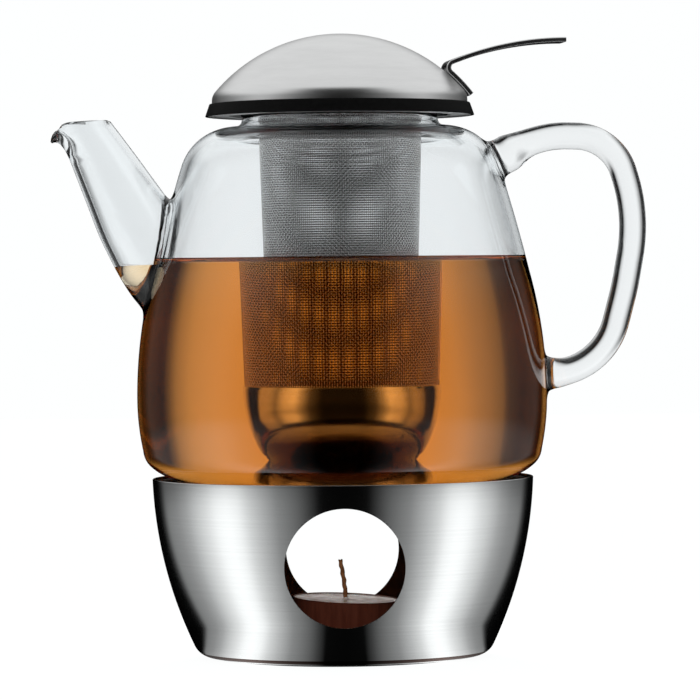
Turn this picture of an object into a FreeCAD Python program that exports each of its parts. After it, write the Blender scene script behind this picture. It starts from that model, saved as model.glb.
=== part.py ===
"""Glass teapot with a steel infuser and lid, standing on a tea-light warmer.

Millimetres, +Z up, origin at the centre of the warmer's underside. The spout points along -X and
the handle along +X. The lid, infuser, pot and tea light lift straight up.
"""

import FreeCAD, Part
import math
import os
import re

import PartDesign
import Sketcher

Vector = FreeCAD.Vector
doc = FreeCAD.newDocument("GlassTeapot")

# ---------------------------------------------------------------- driving dimensions
DIMENSIONS = {
    # base pad and warmer shell: a drawn bowl whose side is one large arc
    "pad_radius": 42.0,
    "pad_height": 1.0,
    "warmer_height": 66.0,
    "warmer_radius": 69.4,
    "warmer_wall": 1.0,
    "warmer_rim_arc": 0.55,
    "warmer_side_arc": 154.0,
    "warmer_side_level": 71.0,
    "warmer_corner_level": 5.0,
    "warmer_corner_arc": 6.9,
    "warmer_floor_radius": 48.3,
    "warmer_hole_radius": 21.3,
    "warmer_hole_level": 36.2,
    # pressed ring that carries the pot
    "rest_level": 64.85,
    "rest_opening": 48.0,
    "rest_radius": 67.9,
    "rest_skirt": 5.8,
    "rest_turn_down": 2.8,
    "sheet_metal": 0.8,
    # dish that holds the tea light
    "holder_radius": 27.0,
    "holder_bore": 20.2,
    "holder_lift": 1.8,
    "holder_depth": 4.0,
    # tea light
    "candle_radius": 19.0,
    "candle_height": 16.0,
    "candle_foil": 0.3,
    "candle_play": 0.1,
    "wax_freeboard": 0.6,
    "wick_radius": 0.75,
    "wick_height": 29.3,
    "wick_lean": 2.6,
    "sustainer_radius": 6.0,
    "sustainer_neck": 1.4,
    "sustainer_height": 3.0,
    # glass body, outside
    "pot_base_level": 64.9,
    "pot_base_radius": 56.0,
    "heel_radius": 70.2,
    "heel_level": 70.6,
    "heel_top_radius": 72.6,
    "heel_top_level": 76.0,
    "belly_radius": 74.6,
    "belly_level": 95.0,
    "side_radius": 68.4,
    "side_level": 141.0,
    "shoulder_radius": 58.0,
    "shoulder_level": 178.5,
    "shoulder_top_radius": 38.4,
    "shoulder_top_level": 193.4,
    "neck_radius": 35.6,
    "neck_level": 196.1,
    "neck_rounding": 1.0,
    "neck_edge_round": 0.9,
    "base_arc": 20.5,
    "heel_arc": 8.6,
    "belly_arc": 91.0,
    "side_arc": 173.7,
    "upper_arc": 600.0,
    "shoulder_arc": 20.3,
    "neck_arc": 2.85,
    "glass_wall": 2.5,
    # spout: flattened round sections, level, centre and half width along X at each
    "spout_flatness": 0.883,
    "spout_wall": 2.0,
    "bore_overrun": 6.0,
    "mouth_level": 196.0,
    "mouth_centre": -93.9,
    "mouth_half": 10.4,
    "throat_level": 184.0,
    "throat_centre": -86.9,
    "throat_half": 12.3,
    "barrel_level": 168.0,
    "barrel_centre": -78.1,
    "barrel_half": 15.0,
    "flare_level": 150.0,
    "flare_centre": -68.0,
    "flare_half": 18.0,
    "root_level": 130.0,
    "root_centre": -55.2,
    "root_half": 19.3,
    "inside_level": 116.0,
    "inside_centre": -43.0,
    "inside_half": 16.6,
    "lip_reach": 105.4,
    "lip_level": 190.7,
    "lip_wall": 1.8,
    "lip_width": 11.0,
    "lip_setback": 5.0,
    "lip_drop": 0.4,
    "lip_top_arc": 9.0,
    "lip_under_arc": 10.8,
    # handle: corners of its centreline in the XZ plane and the arcs that round them
    "handle_radius": 4.9,
    "handle_start_across": 52.0,
    "handle_start_level": 178.2,
    "handle_crown_across": 73.0,
    "handle_crown_level": 189.6,
    "handle_knuckle_across": 99.4,
    "handle_knuckle_level": 188.8,
    "handle_grip_across": 107.9,
    "handle_grip_level": 160.0,
    "handle_waist_across": 103.4,
    "handle_waist_level": 134.5,
    "handle_elbow_across": 95.2,
    "handle_elbow_level": 103.6,
    "handle_end_across": 66.0,
    "handle_end_level": 102.5,
    "handle_crown_arc": 36.0,
    "handle_knuckle_arc": 18.5,
    "handle_grip_arc": 60.0,
    "handle_waist_arc": 110.0,
    "handle_elbow_arc": 25.0,
    # infuser
    "gasket_level": 197.15,
    "gasket_height": 1.25,
    "gasket_bore": 30.0,
    "gasket_radius": 36.0,
    "gasket_tab_reach": 39.3,
    "gasket_tab_width": 13.0,
    "gasket_tab_root": 2.0,
    "flange_radius": 36.4,
    "collar_radius": 29.1,
    "collar_wall": 0.55,
    "collar_drop": 3.0,
    "collar_rise": 2.4,
    "mesh_thickness": 0.5,
    "mesh_top_radius": 29.7,
    "mesh_low_radius": 26.6,
    "mesh_tuck": 3.4,
    "seam_width": 4.0,
    "seam_thickness": 0.25,
    "seam_lift": 1.5,
    "bowl_radius": 27.3,
    "bowl_wall": 0.5,
    "bowl_rim_level": 98.9,
    "bowl_belly_radius": 23.7,
    "bowl_belly_level": 82.0,
    "bowl_foot_radius": 15.8,
    "bowl_foot_level": 71.0,
    "bowl_upper_arc": 41.5,
    "bowl_lower_arc": 33.4,
    "band_thickness": 0.5,
    "band_height": 4.2,
    # lid
    "dome_arc": 59.5,
    "dome_centre_level": 167.6,
    "dome_radius": 46.5,
    "dome_wall": 0.8,
    "plate_level": 197.2,
    "plate_radius": 47.9,
    "plate_recess_radius": 41.0,
    "plate_recess_level": 201.15,
    "ring_low_radius": 49.0,
    "ring_top_radius": 47.4,
    "ring_height": 4.6,
    "plug_radius": 27.9,
    "plug_drop": 3.85,
    "lever_thickness": 1.7,
    "lever_width": 14.0,
    "lever_bend": 2.3,
    "lever_arc": 113.0,
    "lever_tip_across": 82.7,
    "lever_tip_level": 224.6,
    "lever_foot_level": 204.7,
    "lever_yaw": 7.0,
}

sheet = doc.addObject("Spreadsheet::Sheet", "Sizes")
for line, (alias, number) in enumerate(DIMENSIONS.items(), start=1):
    sheet.set("A%d" % line, alias)
    sheet.set("B%d" % line, str(number))
    sheet.setAlias("B%d" % line, alias)
doc.recompute()


# ---------------------------------------------------------------- helpers
def value(expression):
    """The number that an expression of the sheet's aliases gives."""
    answer = sheet.evalExpression(expression)
    return float(getattr(answer, "Value", answer))


def sized(expression):
    """The expression as other objects have to write it, each alias led by the sheet's name."""
    def led(word):
        return "Sizes." + word.group() if word.group() in DIMENSIONS else word.group()

    return re.sub(r"[a-z_]+", led, expression)


def origin_plane(body, role):
    for feature in body.Origin.OriginFeatures:
        if feature.Role == role:
            return feature
    raise ValueError(role)


def new_sketch(body, name, role="XZ_Plane"):
    """Sketch on one of the body's own planes; on XZ_Plane its axes are +X and +Z."""
    sketch = body.newObject("Sketcher::SketchObject", name)
    sketch.AttachmentSupport = [(origin_plane(body, role), "")]
    sketch.MapMode = "FlatFace"
    return sketch


def bind(sketch, kind, where, expression):
    """One dimension of a sketch, held by an expression; a zero becomes a point on the axis."""
    number = value(expression)
    if abs(number) < 1e-9 and kind in ("DistanceX", "DistanceY"):
        axis = -2 if kind == "DistanceX" else -1
        sketch.addConstraint(Sketcher.Constraint("PointOnObject", where[0], where[1], axis))
        return
    start = (-1, 1) if kind in ("DistanceX", "DistanceY") else ()
    index = sketch.addConstraint(Sketcher.Constraint(kind, *start, *where, number))
    name = "%s%d" % (kind.lower(), index)
    sketch.renameConstraint(index, name)
    sketch.setExpression("Constraints." + name, sized(expression))


def arc_through(start, finish, radius, side):
    """Circle arc from start to finish whose centre lies on the named side of the way along it."""
    chord = finish - start
    rise = math.sqrt(max(radius**2 - (chord.Length / 2) ** 2, 0.0))
    leftward = Vector(-chord.y, chord.x, 0).normalize()
    centre = (start + finish) / 2 + leftward * (rise if side == "left" else -rise)
    low, high = (start, finish) if side == "left" else (finish, start)
    angles = [math.atan2(point.y - centre.y, point.x - centre.x) for point in (low, high)]
    circle = Part.Circle(centre, Vector(0, 0, 1), radius)
    return Part.ArcOfCircle(circle, angles[0], angles[1] + (2 * math.pi if angles[1] < angles[0] else 0))


def draw_outline(sketch, corners, arcs=None):
    """Closed outline. corners holds pairs of expressions; arcs names the edges, by the corner
    they leave, that are round: (radius expression, side of the centre)."""
    arcs = arcs or {}
    points = [Vector(value(across), value(up), 0) for across, up in corners]
    tips = []
    for index, start in enumerate(points):
        finish = points[(index + 1) % len(points)]
        if index in arcs:
            expression, side = arcs[index]
            edge = sketch.addGeometry(arc_through(start, finish, value(expression), side), False)
            tips.append(((edge, 1), (edge, 2)) if side == "left" else ((edge, 2), (edge, 1)))
        else:
            edge = sketch.addGeometry(Part.LineSegment(start, finish), False)
            tips.append(((edge, 1), (edge, 2)))
    for index, (across, up) in enumerate(corners):
        sketch.addConstraint(Sketcher.Constraint("Coincident", *tips[index - 1][1], *tips[index][0]))
        bind(sketch, "DistanceX", tips[index][0], across)
        bind(sketch, "DistanceY", tips[index][0], up)
    for index, (expression, _) in arcs.items():
        bind(sketch, "Radius", (tips[index][0][0],), expression)


def turned_body(label, corners, arcs=None, degrees=360.0):
    """PartDesign body turned about Z from an outline in the XZ plane."""
    body = doc.addObject("PartDesign::Body", label)
    sketch = new_sketch(body, label + "_outline")
    draw_outline(sketch, corners, arcs)
    turn = body.newObject("PartDesign::Revolution", label + "_turn")
    turn.Profile = sketch
    turn.ReferenceAxis = (sketch, ["V_Axis"])
    turn.Angle = degrees
    doc.recompute()
    return body


def cut(label, base, tool):
    result = doc.addObject("Part::Cut", label)
    result.Base, result.Tool = base, tool
    return result


def fuse(label, base, tool):
    result = doc.addObject("Part::Fuse", label)
    result.Base, result.Tool = base, tool
    return result


# ---------------------------------------------------------------- warmer
def warmer_radius_at(level, inset="0"):
    """Radius of the warmer's side at a level; inset moves the arc inwards by the wall."""
    arc = "(warmer_side_arc - %s)" % inset
    return "warmer_radius - warmer_side_arc + sqrt(%s^2 - (warmer_side_level - (%s))^2)" % (arc, level)


def make_base_pad():
    return turned_body(
        "base_pad", [("0", "0"), ("pad_radius", "0"), ("pad_radius", "pad_height"), ("0", "pad_height")]
    )


def make_warmer_shell():
    """Bowl of even wall with a rounded rim and two opposed round air holes."""
    rim = "warmer_height - warmer_wall / 2"
    floor = "pad_height + warmer_wall"
    bend = "warmer_corner_level + warmer_wall / 2"
    corners = [
        ("0", "pad_height"),
        ("warmer_floor_radius", "pad_height"),
        (warmer_radius_at("warmer_corner_level"), "warmer_corner_level"),
        (warmer_radius_at(rim), rim),
        (warmer_radius_at(rim) + " - warmer_wall", rim),
        (warmer_radius_at(bend, "warmer_wall"), bend),
        ("warmer_floor_radius", floor),
        ("0", floor),
    ]
    arcs = {
        1: ("warmer_corner_arc", "left"),
        2: ("warmer_side_arc", "left"),
        3: ("warmer_rim_arc", "left"),
        4: ("warmer_side_arc - warmer_wall", "right"),
        5: ("warmer_corner_arc - warmer_wall", "right"),
    }
    body = turned_body("warmer_shell", corners, arcs)
    solid_volume = body.Shape.Volume
    sketch = new_sketch(body, "air_hole_outline")
    level = Vector(0, value("warmer_hole_level"), 0)
    sketch.addGeometry(Part.Circle(level, Vector(0, 0, 1), value("warmer_hole_radius")), False)
    bind(sketch, "DistanceX", (0, 3), "0")
    bind(sketch, "DistanceY", (0, 3), "warmer_hole_level")
    bind(sketch, "Radius", (0,), "warmer_hole_radius")
    holes = body.newObject("PartDesign::Pocket", "air_holes")
    holes.Profile = sketch
    holes.Type = "Length"
    holes.Midplane = True
    holes.setExpression("Length", "3 * Sizes.warmer_radius")
    doc.recompute()
    assert body.Shape.Volume < solid_volume * 0.97, "the air holes cut nothing"
    return body


def make_pot_rest_ring():
    """Ledge with a welded skirt outside and a turned-down edge round its opening."""
    under = "rest_level - sheet_metal"
    return turned_body(
        "pot_rest_ring",
        [
            ("rest_opening", "rest_level - rest_turn_down"),
            ("rest_opening + sheet_metal", "rest_level - rest_turn_down"),
            ("rest_opening + sheet_metal", under),
            ("rest_radius - sheet_metal", under),
            ("rest_radius - sheet_metal", "rest_level - rest_skirt"),
            ("rest_radius", "rest_level - rest_skirt"),
            ("rest_radius", "rest_level"),
            ("rest_opening", "rest_level"),
        ],
    )


HOLDER_FLOOR = "(pad_height + warmer_wall + holder_lift)"
HOLDER_TOP = "(pad_height + warmer_wall + holder_lift + sheet_metal)"


def make_candle_holder():
    """Dish with a raised centre, a ring wall round the tea light and a flat welded foot."""
    foot = "pad_height + warmer_wall"
    return turned_body(
        "candle_holder",
        [
            ("0", HOLDER_FLOOR),
            ("holder_bore - sheet_metal / 2", HOLDER_FLOOR),
            ("holder_bore - sheet_metal / 2", foot),
            ("holder_radius", foot),
            ("holder_radius", foot + " + sheet_metal"),
            ("holder_bore + sheet_metal", foot + " + sheet_metal"),
            ("holder_bore + sheet_metal", HOLDER_TOP + " + holder_depth"),
            ("holder_bore", HOLDER_TOP + " + holder_depth"),
            ("holder_bore", HOLDER_TOP),
            ("0", HOLDER_TOP),
        ],
    )


# ---------------------------------------------------------------- tea light
CANDLE_BASE = "(pad_height + warmer_wall + holder_lift + sheet_metal + candle_play)"
CANDLE_FLOOR = "(pad_height + warmer_wall + holder_lift + sheet_metal + candle_play + candle_foil)"
CANDLE_RIM = CANDLE_BASE + " + candle_height"


def make_tealight_cup():
    return turned_body(
        "tealight_cup",
        [
            ("0", CANDLE_BASE),
            ("candle_radius", CANDLE_BASE),
            ("candle_radius", CANDLE_RIM + " - candle_foil"),
            ("candle_radius + candle_foil", CANDLE_RIM + " - candle_foil"),
            ("candle_radius + candle_foil", CANDLE_RIM),
            ("candle_radius - candle_foil", CANDLE_RIM),
            ("candle_radius - candle_foil", CANDLE_FLOOR),
            ("0", CANDLE_FLOOR),
        ],
    )


def make_tealight_wax():
    """Wax round the wick and over the sustainer, a little below the cup's rim."""
    disc_top = CANDLE_FLOOR + " + candle_foil"
    neck_top = CANDLE_FLOOR + " + sustainer_height"
    return turned_body(
        "tealight_wax",
        [
            ("sustainer_radius", CANDLE_FLOOR),
            ("candle_radius - candle_foil", CANDLE_FLOOR),
            ("candle_radius - candle_foil", CANDLE_RIM + " - wax_freeboard"),
            ("wick_radius", CANDLE_RIM + " - wax_freeboard"),
            ("wick_radius", neck_top),
            ("sustainer_neck", neck_top),
            ("sustainer_neck", disc_top),
            ("sustainer_radius", disc_top),
        ],
    )


def make_wick_sustainer():
    disc_top = CANDLE_FLOOR + " + candle_foil"
    neck_top = CANDLE_FLOOR + " + sustainer_height"
    return turned_body(
        "wick_sustainer",
        [
            ("0", CANDLE_FLOOR),
            ("sustainer_radius", CANDLE_FLOOR),
            ("sustainer_radius", disc_top),
            ("sustainer_neck", disc_top),
            ("sustainer_neck", neck_top),
            ("wick_radius", neck_top),
            ("wick_radius", disc_top),
            ("0", disc_top),
        ],
    )


def make_tealight_wick():
    """Round cord: straight through the wax, then a lean towards the spout side."""
    body = doc.addObject("PartDesign::Body", "tealight_wick")
    foot = CANDLE_FLOOR + " + candle_foil"
    start = Vector(0, value(foot), 0)
    bend = Vector(0, value(CANDLE_RIM), 0)
    tip = Vector(-value("wick_lean"), value(CANDLE_BASE + " + wick_height"), 0)
    # an arc that leaves the straight part tangentially and ends at the tip
    radius = ((tip - bend).Length ** 2) / (2 * abs(tip.x - bend.x))
    route = new_sketch(body, "wick_route")
    route.addGeometry(Part.LineSegment(start, bend), False)
    route.addGeometry(arc_through(bend, tip, radius, "left"), False)
    route.addConstraint(Sketcher.Constraint("Tangent", 0, 2, 1, 1))
    bind(route, "DistanceX", (0, 1), "0")
    bind(route, "DistanceX", (0, 2), "0")
    bind(route, "DistanceY", (0, 1), foot)
    bind(route, "DistanceY", (0, 2), CANDLE_RIM)
    bind(route, "DistanceY", (1, 2), CANDLE_BASE + " + wick_height")
    bind(route, "DistanceX", (1, 2), "-wick_lean")
    section = new_sketch(body, "wick_section", "XY_Plane")
    section.AttachmentOffset = FreeCAD.Placement(Vector(0, 0, value(foot)), FreeCAD.Rotation())
    section.setExpression("AttachmentOffset.Base.z", sized(foot))
    section.addGeometry(Part.Circle(Vector(), Vector(0, 0, 1), value("wick_radius")), False)
    section.addConstraint(Sketcher.Constraint("Coincident", 0, 3, -1, 1))
    bind(section, "Radius", (0,), "wick_radius")
    cord = body.newObject("PartDesign::AdditivePipe", "wick_cord")
    cord.Profile = section
    cord.Spine = (route, ["Edge1", "Edge2"])
    doc.recompute()
    return body


# ---------------------------------------------------------------- glass
def make_pot_blank():
    """The pot's outside as one solid, which the wall, spout and handle are trimmed with."""
    top = "neck_level + neck_rounding"
    corners = [
        ("0", "pot_base_level"),
        ("pot_base_radius", "pot_base_level"),
        ("heel_radius", "heel_level"),
        ("heel_top_radius", "heel_top_level"),
        ("belly_radius", "belly_level"),
        ("side_radius", "side_level"),
        ("shoulder_radius", "shoulder_level"),
        ("shoulder_top_radius", "shoulder_top_level"),
        ("neck_radius", "neck_level"),
        ("neck_radius", top),
        ("0", top),
    ]
    arcs = {
        1: ("base_arc", "left"),
        2: ("heel_arc", "left"),
        3: ("belly_arc", "left"),
        4: ("side_arc", "left"),
        5: ("upper_arc", "left"),
        6: ("shoulder_arc", "left"),
        7: ("neck_arc", "right"),
    }
    return turned_body("pot_blank", corners, arcs)


def make_pot_wall(blank):
    """Blank hollowed to an even wall, open at the neck, its outer lip rounded."""
    top = value("neck_level + neck_rounding")
    lid_faces = [
        "Face%d" % (number + 1)
        for number, face in enumerate(blank.Shape.Faces)
        if face.BoundBox.ZMin > top - 1e-6
    ]
    wall = doc.addObject("Part::Thickness", "pot_wall")
    wall.Faces = (blank, lid_faces)
    wall.setExpression("Value", "-Sizes.glass_wall")
    wall.Join = "Arc"
    doc.recompute()
    rim = [
        number + 1
        for number, edge in enumerate(wall.Shape.Edges)
        if edge.BoundBox.ZMin > top - 1e-6 and edge.BoundBox.XMax > value("neck_radius") - 1e-6
    ]
    rounded = doc.addObject("Part::Fillet", "pot_wall_rounded")
    rounded.Base = wall
    rounded.Edges = [(number, value("neck_edge_round"), value("neck_edge_round")) for number in rim]
    return rounded


SPOUT_STATIONS = ("mouth", "throat", "barrel", "flare", "root", "inside")


def spout_loft(label, inset, overrun):
    """Loft through flat ellipses from inside the pot to the mouth. inset thins it for the bore,
    and overrun carries the bore past the mouth."""
    rings = []
    for station in SPOUT_STATIONS:
        ring = doc.addObject("Part::Ellipse", "%s_%s" % (label, station))
        run = overrun if station == "mouth" else "0"
        ring.setExpression("MajorRadius", sized("%s_half - (%s) / spout_flatness" % (station, inset)))
        ring.setExpression("MinorRadius", sized("%s_half * spout_flatness - (%s)" % (station, inset)))
        ring.setExpression("Placement.Base.x", sized("%s_centre - (%s) / 2" % (station, run)))
        ring.setExpression("Placement.Base.z", sized("%s_level + (%s)" % (station, run)))
        rings.append(ring)
    loft = doc.addObject("Part::Loft", label)
    loft.Sections = rings
    loft.Solid = True
    return loft


def make_spout_lip():
    """Turned-down pouring lip in front of the mouth."""
    body = doc.addObject("PartDesign::Body", "spout_lip")
    sketch = new_sketch(body, "lip_outline")
    root = "mouth_centre - mouth_half + lip_setback"
    corners = [
        (root, "mouth_level - lip_drop"),
        ("-lip_reach", "lip_level"),
        ("-lip_reach + lip_wall / 2", "lip_level - lip_wall"),
        ("-lip_reach + 2 * lip_wall", "lip_level"),
        (root, "mouth_level - lip_drop - lip_wall"),
    ]
    draw_outline(sketch, corners, {0: ("lip_top_arc", "left"), 3: ("lip_under_arc", "right")})
    pad = body.newObject("PartDesign::Pad", "lip_pad")
    pad.Profile = sketch
    pad.Midplane = True
    pad.setExpression("Length", "Sizes.lip_width")
    doc.recompute()
    return body


def rounded_wire(corners, radii):
    """Wire of straight runs joined by tangent arcs."""
    edges = []
    last = corners[0]
    for before, corner, after, radius in zip(corners, corners[1:], corners[2:], radii):
        back = (before - corner).normalize()
        onward = (after - corner).normalize()
        half = back.getAngle(onward) / 2
        middle = (back + onward).normalize()
        centre = corner + middle * (radius / math.sin(half))
        reach = radius / math.tan(half)
        start, finish = corner + back * reach, corner + onward * reach
        edges.append(Part.LineSegment(last, start).toShape())
        edges.append(Part.Arc(start, centre - middle * radius, finish).toShape())
        last = finish
    edges.append(Part.LineSegment(last, corners[-1]).toShape())
    return Part.Wire(edges)


def make_handle_rod():
    """Solid round rod along the handle's centreline, its ends inside the pot's blank."""
    names = ("start", "crown", "knuckle", "grip", "waist", "elbow", "end")
    corners = [Vector(value("handle_%s_across" % name), 0, value("handle_%s_level" % name)) for name in names]
    radii = [value("handle_%s_arc" % name) for name in names[1:-1]]
    route = doc.addObject("Part::Feature", "handle_route")
    route.Shape = rounded_wire(corners, radii)
    section = doc.addObject("Part::Circle", "handle_section")
    section.setExpression("Radius", "Sizes.handle_radius")
    turn = FreeCAD.Rotation(Vector(0, 0, 1), corners[1] - corners[0])
    section.Placement = FreeCAD.Placement(corners[0], turn)
    rod = doc.addObject("Part::Sweep", "handle_rod")
    rod.Sections = [section]
    rod.Spine = (route, ["Edge%d" % (number + 1) for number in range(len(route.Shape.Edges))])
    rod.Solid = True
    rod.Frenet = True
    return rod


def make_glass():
    """Body, spout and handle, which meet face to face where they are fused."""
    blank = make_pot_blank()
    wall = make_pot_wall(blank)
    outside = spout_loft("spout_outside", "0", "0")
    bore = spout_loft("spout_bore", "spout_wall", "bore_overrun")
    lipped = fuse("spout_lipped", outside, make_spout_lip())
    tube = cut("spout_tube", lipped, bore)
    return [
        cut("glass_body", wall, bore),
        cut("glass_spout", tube, blank),
        cut("glass_handle", make_handle_rod(), blank),
    ]


# ---------------------------------------------------------------- infuser
FLANGE_LEVEL = "(gasket_level + gasket_height)"
MESH_RUN = "(gasket_level + gasket_height - bowl_rim_level)"


def make_neck_gasket():
    """Flat ring on the neck with one pull tab towards the handle."""
    body = turned_body(
        "neck_gasket",
        [
            ("gasket_bore", "gasket_level"),
            ("gasket_radius", "gasket_level"),
            ("gasket_radius", FLANGE_LEVEL),
            ("gasket_bore", FLANGE_LEVEL),
        ],
    )
    sketch = new_sketch(body, "tab_outline", "XY_Plane")
    sketch.AttachmentOffset = FreeCAD.Placement(Vector(0, 0, value("gasket_level")), FreeCAD.Rotation())
    sketch.setExpression("AttachmentOffset.Base.z", "Sizes.gasket_level")
    inner = "gasket_bore + gasket_tab_root"
    corners = [
        (inner, "-gasket_tab_width / 2"),
        ("gasket_tab_reach", "-gasket_tab_width / 2"),
        ("gasket_tab_reach", "gasket_tab_width / 2"),
        (inner, "gasket_tab_width / 2"),
    ]
    draw_outline(sketch, corners)
    tab = body.newObject("PartDesign::Pad", "pull_tab")
    tab.Profile = sketch
    tab.setExpression("Length", "Sizes.gasket_height")
    doc.recompute()
    return body


def make_infuser_flange():
    return turned_body(
        "infuser_flange",
        [
            ("collar_radius", FLANGE_LEVEL),
            ("flange_radius", FLANGE_LEVEL),
            ("flange_radius", FLANGE_LEVEL + " + sheet_metal"),
            ("collar_radius", FLANGE_LEVEL + " + sheet_metal"),
        ],
    )


def make_infuser_collar():
    return turned_body(
        "infuser_collar",
        [
            ("collar_radius - collar_wall", FLANGE_LEVEL + " - collar_drop"),
            ("collar_radius", FLANGE_LEVEL + " - collar_drop"),
            ("collar_radius", FLANGE_LEVEL + " + collar_rise"),
            ("collar_radius - collar_wall", FLANGE_LEVEL + " + collar_rise"),
        ],
    )


def make_infuser_mesh():
    """Tapered woven tube, its lower end straight and tucked inside the bowl's rim."""
    return turned_body(
        "infuser_mesh",
        [
            ("mesh_low_radius - mesh_thickness", "bowl_rim_level - mesh_tuck"),
            ("mesh_low_radius", "bowl_rim_level - mesh_tuck"),
            ("mesh_low_radius", "bowl_rim_level"),
            ("mesh_top_radius", FLANGE_LEVEL),
            ("mesh_top_radius - mesh_thickness", FLANGE_LEVEL),
            ("mesh_low_radius - mesh_thickness", "bowl_rim_level"),
        ],
    )


def make_mesh_seam():
    """Overlap strip up the handle side of the tube."""
    width = "seam_width / mesh_top_radius * 180 / pi"
    low, high = "bowl_rim_level + seam_lift", FLANGE_LEVEL
    foot = "mesh_low_radius + seam_lift * (mesh_top_radius - mesh_low_radius) / " + MESH_RUN
    body = turned_body(
        "mesh_seam",
        [
            (foot, low),
            (foot + " + seam_thickness", low),
            ("mesh_top_radius + seam_thickness", high),
            ("mesh_top_radius", high),
        ],
        degrees=value(width),
    )
    body.Placement = FreeCAD.Placement(Vector(), FreeCAD.Rotation(Vector(0, 0, 1), -value(width) / 2))
    return body


def make_infuser_bowl():
    wall = "bowl_wall"
    corners = [
        ("0", "bowl_foot_level"),
        ("bowl_foot_radius", "bowl_foot_level"),
        ("bowl_belly_radius", "bowl_belly_level"),
        ("bowl_radius", "bowl_rim_level"),
        ("bowl_radius - " + wall, "bowl_rim_level"),
        ("bowl_belly_radius - " + wall, "bowl_belly_level + bowl_wall / 2"),
        ("bowl_foot_radius - bowl_wall / 2", "bowl_foot_level + " + wall),
        ("0", "bowl_foot_level + " + wall),
    ]
    arcs = {
        1: ("bowl_lower_arc", "left"),
        2: ("bowl_upper_arc", "left"),
        4: ("bowl_upper_arc - " + wall, "right"),
        5: ("bowl_lower_arc - " + wall, "right"),
    }
    return turned_body("infuser_bowl", corners, arcs)


def make_crimp_band():
    """Band inside the tube that clamps the mesh against the bowl's rim."""
    outer = "mesh_low_radius - mesh_thickness"
    low = "bowl_rim_level - mesh_tuck"
    return turned_body(
        "crimp_band",
        [
            (outer + " - band_thickness", low),
            (outer, low),
            (outer, low + " + band_height"),
            (outer + " - band_thickness", low + " + band_height"),
        ],
    )


# ---------------------------------------------------------------- lid
def make_lid_dome():
    """Spherical cap with a short straight lip that stands on the plate."""
    apex = "dome_centre_level + dome_arc"
    spring = "dome_centre_level + sqrt(dome_arc^2 - dome_radius^2)"
    inner_spring = "dome_centre_level + sqrt((dome_arc - dome_wall)^2 - (dome_radius - dome_wall)^2)"
    corners = [
        ("dome_radius - dome_wall", "plate_level + sheet_metal"),
        ("dome_radius", "plate_level + sheet_metal"),
        ("dome_radius", spring),
        ("0", apex),
        ("0", apex + " - dome_wall"),
        ("dome_radius - dome_wall", inner_spring),
    ]
    arcs = {2: ("dome_arc", "left"), 4: ("dome_arc - dome_wall", "right")}
    return turned_body("lid_dome", corners, arcs)


def make_lid_plate():
    """Underside: a flat rim and a raised centre that clears the infuser's flange."""
    top = "plate_level + sheet_metal"
    return turned_body(
        "lid_plate",
        [
            ("plate_recess_radius - sheet_metal", "plate_level"),
            ("plate_radius", "plate_level"),
            ("plate_radius", top),
            ("plate_recess_radius", top),
            ("plate_recess_radius", "plate_recess_level + sheet_metal"),
            ("0", "plate_recess_level + sheet_metal"),
            ("0", "plate_recess_level"),
            ("plate_recess_radius - sheet_metal", "plate_recess_level"),
        ],
    )


def make_lid_ring():
    """Black ring gripped round the dome's lip and the plate's edge."""
    return turned_body(
        "lid_ring",
        [
            ("plate_radius", "plate_level"),
            ("ring_low_radius", "plate_level"),
            ("ring_top_radius", "plate_level + ring_height"),
            ("dome_radius", "plate_level + ring_height"),
            ("dome_radius", "plate_level + sheet_metal"),
            ("plate_radius", "plate_level + sheet_metal"),
        ],
    )


def make_lid_plug():
    """Drawn skirt under the plate that centres the lid in the infuser's collar."""
    low = "plate_recess_level - plug_drop"
    return turned_body(
        "lid_plug",
        [
            ("plug_radius - sheet_metal", low),
            ("plug_radius", low),
            ("plug_radius", "plate_recess_level"),
            ("plug_radius - sheet_metal", "plate_recess_level"),
        ],
    )


def lever_places():
    """Centres and joints of the lever's centreline: an arc on the dome, a tight bend and the arm."""
    half, bend, arm = value("lever_thickness / 2"), value("lever_bend"), value("lever_arc")
    dome = Vector(0, value("dome_centre_level"), 0)
    foot = value("dome_arc") + half
    arm_centre = Vector(value("lever_tip_across"), value("lever_tip_level") - arm, 0)
    gap = (arm_centre - dome).Length
    along = ((foot + bend) ** 2 - (arm - bend) ** 2 + gap**2) / (2 * gap)
    across = math.sqrt((foot + bend) ** 2 - along**2)
    unit = (arm_centre - dome).normalize()
    bend_centre = dome + unit * along + Vector(-unit.y, unit.x, 0) * across
    return half, dome, foot, bend_centre, bend, arm_centre, arm


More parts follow.
